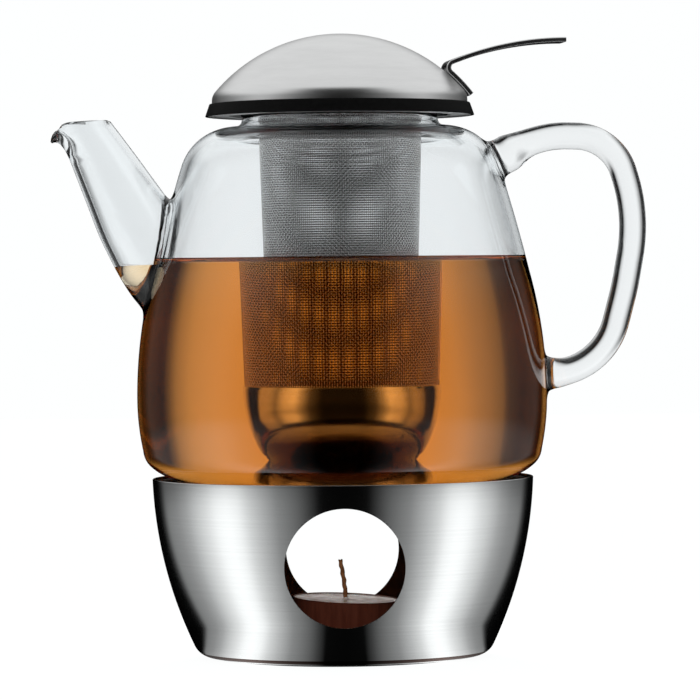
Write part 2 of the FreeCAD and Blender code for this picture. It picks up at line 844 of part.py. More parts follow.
def make_lid_lever():
    """Bent strap: its foot follows the dome, its arm rises and ends level above the handle."""
    half, dome, foot, bend_centre, bend, arm_centre, arm = lever_places()
    to_foot = (bend_centre - dome).normalize()
    to_arm = (bend_centre - arm_centre).normalize()
    foot_angle = math.acos((value("lever_foot_level") - dome.y) / foot)
    low = Vector(math.sin(foot_angle), math.cos(foot_angle), 0)
    body = doc.addObject("PartDesign::Body", "lid_lever")
    sketch = new_sketch(body, "lever_outline")
    inner = [dome + low * (foot - half), dome + to_foot * (foot - half)]
    inner += [arm_centre + to_arm * (arm + half), arm_centre + Vector(0, arm + half, 0)]
    outer = [arm_centre + Vector(0, arm - half, 0), arm_centre + to_arm * (arm - half)]
    outer += [dome + to_foot * (foot + half), dome + low * (foot + half)]
    sketch.addGeometry(arc_through(inner[0], inner[1], foot - half, "left"), False)
    sketch.addGeometry(arc_through(inner[1], inner[2], bend + half, "right"), False)
    sketch.addGeometry(arc_through(inner[2], inner[3], arm + half, "right"), False)
    sketch.addGeometry(Part.LineSegment(inner[3], outer[0]), False)
    sketch.addGeometry(arc_through(outer[0], outer[1], arm - half, "left"), False)
    sketch.addGeometry(arc_through(outer[1], outer[2], bend - half, "left"), False)
    sketch.addGeometry(arc_through(outer[2], outer[3], foot + half, "right"), False)
    sketch.addGeometry(Part.LineSegment(outer[3], inner[0]), False)
    joints = [((0, 2), (1, 2)), ((1, 1), (2, 2)), ((2, 1), (3, 1)), ((3, 2), (4, 1))]
    joints += [((4, 2), (5, 1)), ((5, 2), (6, 2)), ((6, 1), (7, 1)), ((7, 2), (0, 1))]
    for one, other in joints:
        sketch.addConstraint(Sketcher.Constraint("Coincident", *one, *other))
    for edge, across, up in (
        (0, "0", "dome_centre_level"),
        (6, "0", "dome_centre_level"),
        (2, "lever_tip_across", "lever_tip_level - lever_arc"),
        (4, "lever_tip_across", "lever_tip_level - lever_arc"),
    ):
        bind(sketch, "DistanceX", (edge, 3), across)
        bind(sketch, "DistanceY", (edge, 3), up)
    bind(sketch, "Radius", (0,), "dome_arc")
    bind(sketch, "Radius", (6,), "dome_arc + lever_thickness")
    bind(sketch, "Radius", (2,), "lever_arc + lever_thickness / 2")
    bind(sketch, "Radius", (4,), "lever_arc - lever_thickness / 2")
    bind(sketch, "Radius", (1,), "lever_bend + lever_thickness / 2")
    bind(sketch, "DistanceX", (3, 1), "lever_tip_across")
    bind(sketch, "DistanceX", (3, 2), "lever_tip_across")
    pad = body.newObject("PartDesign::Pad", "lever_pad")
    pad.Profile = sketch
    pad.Midplane = True
    pad.setExpression("Length", "Sizes.lever_width")
    doc.recompute()
    body.Placement = FreeCAD.Placement(Vector(), FreeCAD.Rotation(Vector(0, 0, 1), value("lever_yaw")))
    return body


# ---------------------------------------------------------------- assembly and export
def make_nodes():
    nodes = [make_base_pad(), make_warmer_shell(), make_pot_rest_ring(), make_candle_holder()]
    nodes += [make_tealight_cup(), make_tealight_wax(), make_tealight_wick(), make_wick_sustainer()]
    nodes += make_glass()
    nodes += [make_neck_gasket(), make_infuser_flange(), make_infuser_collar(), make_infuser_mesh()]
    nodes += [make_mesh_seam(), make_infuser_bowl(), make_crimp_band()]
    nodes += [make_lid_dome(), make_lid_plate(), make_lid_ring(), make_lid_plug(), make_lid_lever()]
    return nodes


nodes = make_nodes()
doc.recompute()
for item in doc.Objects:
    if "Invalid" in item.State or "Error" in item.State:
        raise RuntimeError("%s is %s" % (item.Label, item.State))
os.makedirs("parts", exist_ok=True)
for node in nodes:
    shape = node.Shape
    if shape.isNull() or not shape.isValid() or not shape.Solids:
        raise RuntimeError("%s has no valid solid" % node.Label)
    box = shape.BoundBox
    limits = (box.XMin, box.XMax, box.YMin, box.YMax, box.ZMin, box.ZMax)
    spans = "x %7.2f %7.2f  y %7.2f %7.2f  z %7.2f %7.2f" % limits
    print("%-16s solids %d  volume %9.1f  %s" % (node.Label, len(shape.Solids), shape.Volume, spans))
for node in nodes:
    node.Shape.exportStep("parts/%s.step" % node.Label)
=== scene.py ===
"""Looks of the glass teapot: glass, tea, woven infuser, satin lid and brushed tea-light warmer.

Lengths below are millimetres in the outlines and metres in Blender. +Z is up, the spout points
along -X and the handle along +X.
"""

import math
from contextlib import contextmanager

import bmesh
import bpy
from mathutils import Matrix, Quaternion, Vector, kdtree


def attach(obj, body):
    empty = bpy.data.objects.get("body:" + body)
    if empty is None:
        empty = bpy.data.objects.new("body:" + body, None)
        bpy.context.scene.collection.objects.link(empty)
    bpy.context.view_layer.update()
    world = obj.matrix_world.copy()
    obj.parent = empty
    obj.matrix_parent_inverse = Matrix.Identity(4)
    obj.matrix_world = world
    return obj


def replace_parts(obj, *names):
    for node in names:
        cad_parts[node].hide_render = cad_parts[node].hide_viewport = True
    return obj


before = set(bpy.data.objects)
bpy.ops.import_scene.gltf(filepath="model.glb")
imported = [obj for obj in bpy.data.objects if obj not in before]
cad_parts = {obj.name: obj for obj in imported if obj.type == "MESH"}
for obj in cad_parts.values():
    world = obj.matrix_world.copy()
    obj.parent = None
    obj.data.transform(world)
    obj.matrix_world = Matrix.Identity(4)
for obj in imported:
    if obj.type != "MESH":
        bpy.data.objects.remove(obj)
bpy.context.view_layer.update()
scene = bpy.context.scene
MM = 0.001

# ---------------------------------------------------------------- dimensions shared with the CAD
TEA_LEVEL = 143.6
GLASS_WALL = 2.5
SPOUT_WALL = 2.0
SPOUT_FLATNESS = 0.883
HANDLE_RADIUS = 4.9
WARMER_RIM = 65.5
WARMER_WALL = 1.0
WARMER_FLOOR = 1.0
WARMER_HOLE_RADIUS = 21.3
WARMER_HOLE_LEVEL = 36.2
TEALIGHT_BASE = 4.7
TEALIGHT_TOP = 20.7
TEALIGHT_RADIUS = 19.0
WICK_TOP = 34.4
MESH_FOOT, MESH_FOOT_RADIUS = 98.9, 26.35
MESH_TOP, MESH_TOP_RADIUS = 198.4, 29.45
LID_RADIUS = 59.5
LID_CENTRE = 167.6
LID_EDGE_RADIUS = 46.5
LEVER_WIDTH = 14.0
LEVER_YAW = math.radians(7.0)

# outside of the pot: corners of the outline, and the radius and side of each round run between
POT_CORNERS = [
    (0, 64.9), (56.0, 64.9), (70.2, 70.6), (72.6, 76.0), (74.6, 95.0),
    (68.4, 141.0), (58.0, 178.5), (38.4, 193.4), (35.6, 196.1),
]
POT_ARCS = {
    1: (20.5, 1), 2: (8.6, 1), 3: (91.0, 1), 4: (173.7, 1), 5: (600.0, 1), 6: (20.3, 1), 7: (2.85, -1),
}
NECK_TOP = 197.1

# spout: level, centre across and half width across of each level section
SPOUT_STATIONS = [
    (116.0, -43.0, 16.6), (130.0, -55.2, 19.3), (150.0, -68.0, 18.0),
    (168.0, -78.1, 15.0), (184.0, -86.9, 12.3), (196.0, -93.9, 10.4),
]
SPOUT_LOW, SPOUT_HIGH = SPOUT_STATIONS[0][0], SPOUT_STATIONS[-1][0]
SPOUT_RIM, SPOUT_RIM_RISE = 195.2, 0.6    # middle level of the cut rim, and how much higher it is at the back
# pouring lip, along the middle of the front wall: outer face and inner face, from the throat out
LIP_START = 184.0
LIP_OUTER = [
    (-99.2, 184.0), (-100.4, 186.6), (-101.6, 188.6), (-102.9, 189.4), (-103.8, 188.9), (-104.3, 188.1),
    (-104.6, 187.6),
]
LIP_INNER = [
    (-97.0, 184.0), (-97.8, 188.6), (-99.4, 191.9), (-101.6, 193.2), (-103.6, 192.5), (-104.9, 190.6),
    (-105.3, 188.6),
]

# handle: corners of its centreline in the XZ plane and the arcs that round them
HANDLE_CORNERS = [
    (52.0, 178.2), (73.0, 189.6), (99.4, 188.8), (107.9, 160.0), (103.4, 134.5), (95.2, 103.6), (66.0, 102.5),
]
HANDLE_ARCS = [36.0, 18.5, 60.0, 110.0, 25.0]


# ---------------------------------------------------------------- outlines
def turns(count):
    """Angles of evenly spaced points round a circle."""
    return [2 * math.pi * i / count for i in range(count)]


def around(radius, turn):
    """Point at an angle on a circle round the origin."""
    return (radius * math.cos(turn), radius * math.sin(turn))


def arc(start, finish, radius, side, step=0.7):
    """Points after start up to finish on a round run. side 1 has its centre left of the way along it."""
    sx, sy = start
    fx, fy = finish
    chord = math.hypot(fx - sx, fy - sy)
    rise = math.sqrt(max(radius**2 - chord**2 / 4, 0.0))
    cx = (sx + fx) / 2 - side * rise * (fy - sy) / chord
    cy = (sy + fy) / 2 + side * rise * (fx - sx) / chord
    first = math.atan2(sy - cy, sx - cx)
    turn = math.atan2(fy - cy, fx - cx) - first
    while turn * side < 0:
        turn += side * 2 * math.pi
    count = max(3, int(abs(turn) * radius / step), int(abs(turn) / 0.12))
    return [
        (cx + radius * math.cos(first + turn * i / count), cy + radius * math.sin(first + turn * i / count))
        for i in range(1, count + 1)
    ]


def straight(start, finish, step):
    count = max(1, round(math.dist(start, finish) / step))
    return [
        (start[0] + (finish[0] - start[0]) * i / count, start[1] + (finish[1] - start[1]) * i / count)
        for i in range(1, count + 1)
    ]


def outline(corners, arcs, step=1.5, closed=True):
    """The corners joined by straight and round runs."""
    points = [corners[0]]
    for index in range(len(corners) if closed else len(corners) - 1):
        start, finish = corners[index], corners[(index + 1) % len(corners)]
        if index in arcs:
            points += arc(start, finish, *arcs[index], step=step)
        else:
            points += straight(start, finish, step)
    return points[:-1] if closed else points


def softened(corners, radius, arcs=None):
    """Closed outline whose sharp corners are eased by a small radius."""
    loop = outline(corners, arcs or {}, step=1.2)
    result = []
    for index, point in enumerate(loop):
        before, after = Vector(loop[index - 1]), Vector(loop[(index + 1) % len(loop)])
        here = Vector(point)
        back, onward = before - here, after - here
        if back.length < 1e-6 or onward.length < 1e-6:
            continue
        if back.angle(onward) > math.radians(150) or here.x < 1e-6:
            result.append(point)
            continue
        reach = min(radius, 0.45 * back.length, 0.45 * onward.length)
        start, finish = here + back.normalized() * reach, here + onward.normalized() * reach
        for part in (0.0, 0.25, 0.5, 0.75, 1.0):
            near = start.lerp(here, part).lerp(here.lerp(finish, part), part)
            result.append((near.x, near.y))
    return result


def rectangle(inner, outer, low, high):
    """Corners of a flat band's section."""
    return [(inner, low), (outer, low), (outer, high), (inner, high)]


def hermite(stations, level):
    """Smooth run through (key, value, value, ...) stations at a key."""
    keys = [row[0] for row in stations]
    level = min(max(level, keys[0]), keys[-1])
    index = max(i for i in range(len(keys) - 1) if keys[i] <= level + 1e-9)
    span = keys[index + 1] - keys[index]
    part = (level - keys[index]) / span

    def slope(i, column):
        low, high = max(i - 1, 0), min(i + 1, len(keys) - 1)
        return (stations[high][column] - stations[low][column]) / (keys[high] - keys[low])

    h = (
        2 * part**3 - 3 * part**2 + 1,
        part**3 - 2 * part**2 + part,
        3 * part**2 - 2 * part**3,
        part**3 - part**2,
    )
    low, high = stations[index], stations[index + 1]
    return [
        h[0] * low[c] + h[1] * span * slope(index, c) + h[2] * high[c] + h[3] * span * slope(index + 1, c)
        for c in range(1, len(low))
    ]


def smoothstep(low, high, value):
    part = min(max((value - low) / (high - low), 0.0), 1.0)
    return part * part * (3 - 2 * part)


# ---------------------------------------------------------------- meshes
@contextmanager
def editing(mesh):
    """The mesh as a bmesh, written back at the end."""
    work = bmesh.new()
    work.from_mesh(mesh)
    yield work
    work.to_mesh(mesh)
    work.free()


def new_object(name, points, faces, materials, indices=None):
    """Mesh object from points in millimetres, its faces turned outwards."""
    mesh = bpy.data.meshes.new(name)
    mesh.from_pydata([(x * MM, y * MM, z * MM) for x, y, z in points], [], faces)
    for material in materials:
        mesh.materials.append(material)
    if indices:
        mesh.polygons.foreach_set("material_index", indices)
    with editing(mesh) as work:
        bmesh.ops.recalc_face_normals(work, faces=work.faces)
    mesh.update()
    made = bpy.data.objects.new(name, mesh)
    scene.collection.objects.link(made)
    return made


def turned(name, loop, materials, segments=256, inner=None):
    """Closed outline turned about Z. inner(r, z, run) says which material a run of the outline gets."""
    points, rings = [], []
    for r, z in loop:
        if r < 1e-6:
            rings.append([len(points)])
            points.append((0, 0, z))
            continue
        rings.append(list(range(len(points), len(points) + segments)))
        points += [(*around(r, turn), z) for turn in turns(segments)]
    faces, indices = [], []
    for index, low in enumerate(rings):
        high = rings[(index + 1) % len(rings)]
        if len(low) == 1 and len(high) == 1:
            continue
        (r0, z0), (r1, z1) = loop[index], loop[(index + 1) % len(loop)]
        which = inner((r0 + r1) / 2, (z0 + z1) / 2, index) if inner else 0
        for i in range(segments):
            j = (i + 1) % segments
            if len(low) == 1:
                faces.append((low[0], high[i], high[j]))
            elif len(high) == 1:
                faces.append((low[i], low[j], high[0]))
            else:
                faces.append((low[i], low[j], high[j], high[i]))
            indices.append(which)
    return new_object(name, points, faces, materials, indices)


def ringed(name, rows, materials, indices=None, wrap=False):
    """Closed mesh through rows of equally many points; ends are capped unless the rows wrap round. indices
    are the materials of the rows."""
    count = len(rows[0])
    points = [point for row in rows for point in row]
    faces, which = [], []
    for r in range(len(rows) if wrap else len(rows) - 1):
        s = (r + 1) % len(rows)
        for i in range(count):
            j = (i + 1) % count
            faces.append((r * count + i, r * count + j, s * count + j, s * count + i))
            which.append(indices[r] if indices else 0)
    if not wrap:
        faces.append(tuple(range(count)))
        faces.append(tuple(range((len(rows) - 1) * count, len(rows) * count)))
        which += [indices[0] if indices else 0] * 2
    return new_object(name, points, faces, materials, which)


def settle(made):
    """Apply the object's modifiers to its mesh."""
    graph = bpy.context.evaluated_depsgraph_get()
    mesh = bpy.data.meshes.new_from_object(made.evaluated_get(graph))
    made.modifiers.clear()
    made.data = mesh


def combine(base, tool, operation, keep=False):
    """Boolean of two closed meshes, kept in base."""
    step = base.modifiers.new("join", "BOOLEAN")
    step.object, step.operation, step.solver = tool, operation, "MANIFOLD"
    settle(base)
    if not keep:
        bpy.data.objects.remove(tool)
    return base


def finish(made, body, replaced, slot, degrees=30):
    """Smooth shading but for sharp corners, and the piece's body and CAD nodes. slot is not used."""
    made.data.shade_smooth()
    made.data.set_sharp_from_angle(angle=math.radians(degrees))
    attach(made, body)
    if replaced:
        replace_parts(made, *replaced)


def turned_piece(name, corners, ease, material, segments, body, replaced, slot, arcs=None, degrees=30):
    """One turned piece with eased corners, which stands for one CAD node."""
    loop = softened(corners, ease, arcs)
    finish(turned(name, loop, [material], segments), body, [replaced], slot, degrees)


# ---------------------------------------------------------------- materials
def node(tree, kind, **inputs):
    """New shader node of a kind, with the values of its inputs."""
    made = tree.nodes.new("ShaderNode" + kind)
    for key, value in inputs.items():
        made.inputs[key.replace("_", " ")].default_value = value
    return made


def blank_tree(owner, kind):
    """Emptied node tree of a material or world, and its new output node."""
    owner.use_nodes = True
    tree = owner.node_tree
    tree.nodes.clear()
    return tree, node(tree, kind)


def wire(tree, source, target):
    """Link a socket to an input, or give the input a plain number."""
    if isinstance(source, (int, float)):
        target.default_value = source
    else:
        tree.links.new(source, target)


def coordinates(tree, kind, name):
    """X, Y and Z of one output of a coordinate node."""
    place = node(tree, kind)
    parts = node(tree, "SeparateXYZ")
    wire(tree, place.outputs[name], parts.inputs["Vector"])
    return parts.outputs


def grain(tree, scale, stretch, detail=4.0):
    """Noise over the object's own coordinates, stretched along each axis."""
    place = node(tree, "TexCoord")
    mapping = node(tree, "Mapping", Scale=stretch)
    noise = node(tree, "TexNoise", Scale=scale, Detail=detail, Roughness=0.6)
    wire(tree, place.outputs["Object"], mapping.inputs["Vector"])
    wire(tree, mapping.outputs["Vector"], noise.inputs["Vector"])
    return noise.outputs["Fac"]


def ranged(tree, source, low, high):
    spread = node(tree, "MapRange", To_Min=low, To_Max=high)
    wire(tree, source, spread.inputs["Value"])
    return spread.outputs["Result"]


def shade(tree, source, low, high):
    """Colour from low to high over the middle of a noise's range."""
    ramp = node(tree, "ValToRGB")
    for element, position, colour in zip(ramp.color_ramp.elements, (0.3, 0.7), (low, high)):
        element.position = position
        element.color = (*colour, 1)
    wire(tree, source, ramp.inputs["Fac"])
    return ramp.outputs["Color"]


def grey(level):
    return (level, level, level)


def surfaced(name, low, high, rough, scale, stretch=(1, 1, 1), metallic=0.0, bump=0.0, turned_grain=0.0,
             **extra):
    """Principled surface whose colour, roughness and relief all follow one grain. A turned grain also draws
    highlights out across the brushing that runs round Z."""
    material = bpy.data.materials.new(name)
    tree, output = blank_tree(material, "OutputMaterial")
    shader = node(tree, "BsdfPrincipled", Metallic=metallic, **extra)
    fine = grain(tree, scale, stretch)
    wire(tree, shade(tree, fine, low, high), shader.inputs["Base Color"])
    wire(tree, ranged(tree, fine, *rough), shader.inputs["Roughness"])
    if bump:
        relief = node(tree, "Bump", Strength=bump, Distance=0.0001)
        wire(tree, fine, relief.inputs["Height"])
        wire(tree, relief.outputs["Normal"], shader.inputs["Normal"])
    if turned_grain:
        way = node(tree, "Tangent")
        way.direction_type, way.axis = "RADIAL", "Z"
        wire(tree, turned_grain, shader.inputs["Anisotropic"])
        wire(tree, 0.25, shader.inputs["Anisotropic Rotation"])
        wire(tree, way.outputs["Tangent"], shader.inputs["Tangent"])
    wire(tree, shader.outputs["BSDF"], output.inputs["Surface"])
    return material


def stain_and_shade_below(material, low, high, tint_colour):
    """Tint a metal below the low level, untinted above the high one: painted shade, partly a tea stain."""
    tree = material.node_tree
    shader = next(n for n in tree.nodes if n.type == "BSDF_PRINCIPLED")
    untinted = shader.inputs["Base Color"].links[0].from_socket
    place = coordinates(tree, "TexCoord", "Object")
    share = node(tree, "MapRange", From_Min=low * MM, From_Max=high * MM, To_Min=1.0, To_Max=0.0)
    wire(tree, place["Z"], share.inputs["Value"])
    mix = node(tree, "Mix")
    mix.data_type, mix.blend_type = "RGBA", "MULTIPLY"
    mix.inputs["B"].default_value = (*tint_colour, 1)
    wire(tree, share.outputs["Result"], mix.inputs["Factor"])
    wire(tree, untinted, mix.inputs["A"])
    wire(tree, mix.outputs["Result"], shader.inputs["Base Color"])


# darkest and lightest colour, range of roughness, scale of the grain, its stretch along each axis, metallic
brushed = surfaced("brushed_warmer_steel", (0.62, 0.63, 0.63), (0.66, 0.67, 0.67), (0.14, 0.18),
                   1.0, (12, 12, 2600), 1.0, bump=0.012, turned_grain=0.6)
# painted shade: near-black steel for the inside of the warmer and its candle dish, where little light reaches
painted_shade_steel = surfaced("warmer_inside_steel", (0.045, 0.022, 0.018), (0.085, 0.045, 0.035), (0.4, 0.6), 60,
                  metallic=1.0)
plain_steel = surfaced("drawn_steel", (0.56, 0.56, 0.55), (0.66, 0.66, 0.65), (0.14, 0.24),
                       1.0, (30, 30, 900), 1.0, turned_grain=0.4)
bowl_steel = surfaced("infuser_bowl_steel", (0.64, 0.55, 0.48), (0.72, 0.62, 0.55), (0.09, 0.13),
                      1.0, (20, 20, 1200), 1.0, turned_grain=0.2)
satin_lid = surfaced("satin_lid_steel", grey(0.68), grey(0.74), (0.30, 0.36), 1.0, (60, 60, 500), 1.0)
plate_steel = surfaced("lid_plate_steel", grey(0.64), grey(0.72), (0.28, 0.4), 1.0, (60, 60, 900), 1.0)
lever_steel = surfaced("lever_steel", grey(0.50), grey(0.60), (0.16, 0.28), 1.0, (60, 1500, 60), 1.0)
# lit and shaded copies of one wire steel: the uprights painted light as a highlight, the hoops painted dark
# as shade
lit_wire_steel = surfaced("mesh_wire_steel", (0.84, 0.84, 0.83), (0.94, 0.94, 0.93), (0.16, 0.24), 900,
                      metallic=1.0)
shaded_hoop_steel = surfaced("mesh_hoop_steel", grey(0.26), grey(0.36), (0.16, 0.24), 900, metallic=1.0)
tin = surfaced("sustainer_tin", grey(0.5), grey(0.66), (0.2, 0.4), 600, metallic=1.0)

black_rubber = surfaced("black_silicone", grey(0.002), grey(0.005), (0.42, 0.55), 900, bump=0.05,
                        Specular_IOR_Level=0.04)
pad_rubber = surfaced("pad_rubber", grey(0.02), grey(0.035), (0.6, 0.8), 1500, bump=0.3)
foil = surfaced("tealight_foil", (0.09, 0.022, 0.013), (0.15, 0.042, 0.024), (0.3, 0.45), 500, (1, 1, 0.1),
                0.25, bump=0.4)
wax = surfaced("wax", (0.36, 0.29, 0.28), (0.78, 0.76, 0.75), (0.3, 0.45), 210, bump=0.6,
               Subsurface_Weight=0.1, Subsurface_Scale=0.003)
wick_cord = surfaced("wick_cord", (0.09, 0.03, 0.01), (0.30, 0.13, 0.05), (0.6, 0.9), 1.0, (900, 900, 260),
                     bump=1.0)

# painted shade: the infuser bowl, all under the tea, darkens to a reddish brown towards its foot
stain_and_shade_below(bowl_steel, 81.0, 90.0, (0.10, 0.045, 0.04))
# below the tea line the mesh is tinted warm and darker, partly a tea stain and partly painted tea-coloured
# light
stain_and_shade_below(lit_wire_steel, TEA_LEVEL - 9.0, TEA_LEVEL + 1.0, (0.95, 0.69, 0.58))
stain_and_shade_below(shaded_hoop_steel, TEA_LEVEL - 9.0, TEA_LEVEL + 1.0, (0.95, 0.66, 0.54))


def glass_material(name, kind, ior, colour=(1, 1, 1, 1), steeped=False):
    """Clear glass or water, with a very slow ripple in the surface; steeped water takes up light as tea."""
    material = bpy.data.materials.new(name)
    tree, output = blank_tree(material, "OutputMaterial")
    shader = node(tree, kind, Color=colour, Roughness=0.0, IOR=ior)
    relief = node(tree, "Bump", Strength=0.02, Distance=0.0005)
    wire(tree, grain(tree, 55, (1, 1, 0.5), 1.0), relief.inputs["Height"])
    wire(tree, relief.outputs["Normal"], shader.inputs["Normal"])
    wire(tree, shader.outputs["BSDF"], output.inputs["Surface"])
    if steeped:
        leaves = node(tree, "VolumeAbsorption", Color=(0.913, 0.623, 0.09, 1), Density=30.0)
        wire(tree, leaves.outputs["Volume"], output.inputs["Volume"])
    return material


GLASS_IOR, WATER_IOR = 1.47, 1.33
# the wetted sides of glass and tea only bend light: between the two there is no air to mirror in
clear_glass = glass_material("clear_glass", "BsdfGlass", GLASS_IOR, (0.965, 0.975, 0.98, 1))
wetted_glass = glass_material("wetted_glass", "BsdfRefraction", GLASS_IOR)
tea_surface = glass_material("tea_surface", "BsdfGlass", WATER_IOR, steeped=True)
tea_side = glass_material("tea_side", "BsdfRefraction", WATER_IOR, steeped=True)


# ---------------------------------------------------------------- glass pot and tea
def offset(loop, distance):
    """Open outline moved left of its way by a distance."""
    moved = []
    for index, point in enumerate(loop):
        before, after = loop[max(index - 1, 0)], loop[min(index + 1, len(loop) - 1)]
        run = Vector((after[0] - before[0], after[1] - before[1])).normalized()
        moved.append((point[0] - run.y * distance, point[1] + run.x * distance))
    return moved


POT_OUTSIDE = outline(POT_CORNERS, POT_ARCS, step=1.3, closed=False)
POT_SEGMENTS = 320
NECK_LEVEL = 193.0       # above it the inside is the plain neck
WALL_STEP = 1.3          # between rows of the spout's wall


def cavity_outline(inset):
    """Inside of the pot from its middle to the neck, inset from the outside."""
    inside = [point for point in offset(POT_OUTSIDE, inset) if point[1] < NECK_LEVEL or point[0] < 40]
    return [(0.0, POT_CORNERS[0][1] + inset)] + [point for point in inside[1:] if point[0] > 0.4]


def spout_point(level, angle, inset):
    """Point of the spout's wall; inset 0 is its outside and the wall's thickness its inside."""
    top = SPOUT_RIM + SPOUT_RIM_RISE * math.cos(angle)
    height = SPOUT_LOW + (level - SPOUT_LOW) * (top - SPOUT_LOW) / (SPOUT_HIGH - SPOUT_LOW)
    centre, half = hermite(SPOUT_STATIONS, height)
    x = centre + (half - inset / SPOUT_FLATNESS) * math.cos(angle)
    y = (half * SPOUT_FLATNESS - inset) * math.sin(angle)
    # the lip is drawn out of the front of the rim, most in the middle
    front = max((-math.cos(angle) - 0.3) / 0.7, 0.0) ** 4
    if level > LIP_START and front > 0:
        part = (level - LIP_START) / (SPOUT_HIGH - LIP_START) * (len(LIP_OUTER) - 1)
        path = LIP_INNER if inset > 0.5 else LIP_OUTER
        lip_x, lip_z = hermite([(i, *point) for i, point in enumerate(path)], part)
        x, height = x + (lip_x - x) * front, height + (lip_z - height) * front
    return (x, y, height)


def spout_rows(inset, low, high, columns=112):
    """Rows of points round the spout's wall, from one level up to another."""
    count = max(2, round((high - low) / WALL_STEP))
    levels = [low + (high - low) * i / count for i in range(count + 1)]
    return [[spout_point(level, turn, inset) for turn in turns(columns)] for level in levels]


def spout_tube(materials):
    """The spout's wall with a rounded rim, as one closed tube."""
    outer = spout_rows(0.0, SPOUT_LOW, SPOUT_HIGH)
    inner = spout_rows(SPOUT_WALL, SPOUT_LOW, SPOUT_HIGH)
    bulge = 0.75
    rim = []
    for part in (0.15, 0.5, 0.85):
        row = []
        for index, (one, other) in enumerate(zip(outer[-1], inner[-1])):
            one, other = Vector(one), Vector(other)
            along = (one - Vector(outer[-2][index]) + other - Vector(inner[-2][index])).normalized()
            row.append(tuple(one.lerp(other, part) + along * (bulge * math.sin(math.pi * part))))
        rim.append(row)
    rows = outer + rim + inner[::-1]
    indices = [0] * (len(outer) + len(rim)) + [1] * len(inner)
    return ringed("spout_tube", rows, materials, indices, wrap=True)


def rounded_path(corners, radii, step):
    """Points along straight runs joined by tangent arcs."""
    points = [Vector(corners[0])]

    def walk(target):
        start = points[-1].copy()
        count = max(1, round((target - start).length / step))
        points.extend(start.lerp(target, i / count) for i in range(1, count + 1))

    for before, corner, after, radius in zip(corners, corners[1:], corners[2:], radii):
        before, corner, after = Vector(before), Vector(corner), Vector(after)
        back, onward = (before - corner).normalized(), (after - corner).normalized()
        half = back.angle(onward) / 2
        middle = (back + onward).normalized()
        centre = corner + middle * (radius / math.sin(half))
        reach = radius / math.tan(half)
        start, finish_at = corner + back * reach, corner + onward * reach
        walk(start)
        first, last = start - centre, finish_at - centre
        turn = first.angle(last)
        way = 1 if first.x * last.y - first.y * last.x > 0 else -1
        count = max(2, round(turn * radius / step))
        for i in range(1, count + 1):
            angle = way * turn * i / count
            points.append(centre + Vector((
                first.x * math.cos(angle) - first.y * math.sin(angle),
                first.x * math.sin(angle) + first.y * math.cos(angle),
            )))
    walk(Vector(corners[-1]))
    return points


def handle_rod(materials, columns=40):
    """Round rod that swells where it is fused to the pot."""
    # upper and lower joint: how far in it begins, how much the rod swells there, and over what length
    joints = ((9.0, 0.42, 6.5), (8.0, 0.30, 5.0))
    path = rounded_path(HANDLE_CORNERS, HANDLE_ARCS, 1.2)
    along, lengths = 0.0, [0.0]
    for one, other in zip(path, path[1:]):
        along += (other - one).length
        lengths.append(along)
    rows = []
    for index, point in enumerate(path):
        run = (path[min(index + 1, len(path) - 1)] - path[max(index - 1, 0)]).normalized()
        side = Vector((-run.y, run.x))
        swell = 1.0
        for gone, (begin, growth, fade) in zip((lengths[index], along - lengths[index]), joints):
            swell += growth * math.exp(-((max(gone - begin, 0) / fade) ** 2))
        radius = HANDLE_RADIUS * swell
        rows.append([
            (
                point.x + side.x * radius * math.cos(turn),
                radius * math.sin(turn),
                point.y + side.y * radius * math.cos(turn),
            )
            for turn in turns(columns)
        ])
    return ringed("handle_rod", rows, materials)


def fuse_joints(made, reach, rounds):
    """Ease the outside within reach of where the spout and handle run into the body, as fused glass does."""
    with editing(made.data) as work:
        bmesh.ops.triangulate(work, faces=[face for face in work.faces if len(face.verts) > 4])
        work.verts.ensure_lookup_table()
        seam = set()
        for edge in work.edges:
            if len(edge.link_faces) == 2 and all(face.material_index == 0 for face in edge.link_faces):
                if edge.calc_face_angle_signed(0.0) < -math.radians(14):
                    seam.update(vertex.index for vertex in edge.verts)
        tree = kdtree.KDTree(len(seam))
        for index in seam:
            tree.insert(work.verts[index].co, index)
        tree.balance()
        weights = {}
        for vertex in work.verts:
            distance = tree.find(vertex.co)[2] / MM
            if distance < reach and not any(face.material_index for face in vertex.link_faces):
                weights[vertex] = 1 - distance / reach
        for _ in range(rounds):
            moved = {}
            for vertex, weight in weights.items():
                near = [edge.other_vert(vertex).co for edge in vertex.link_edges]
                moved[vertex] = vertex.co.lerp(sum(near, Vector()) / len(near), 0.6 * weight)
            for vertex, place in moved.items():
                vertex.co = place


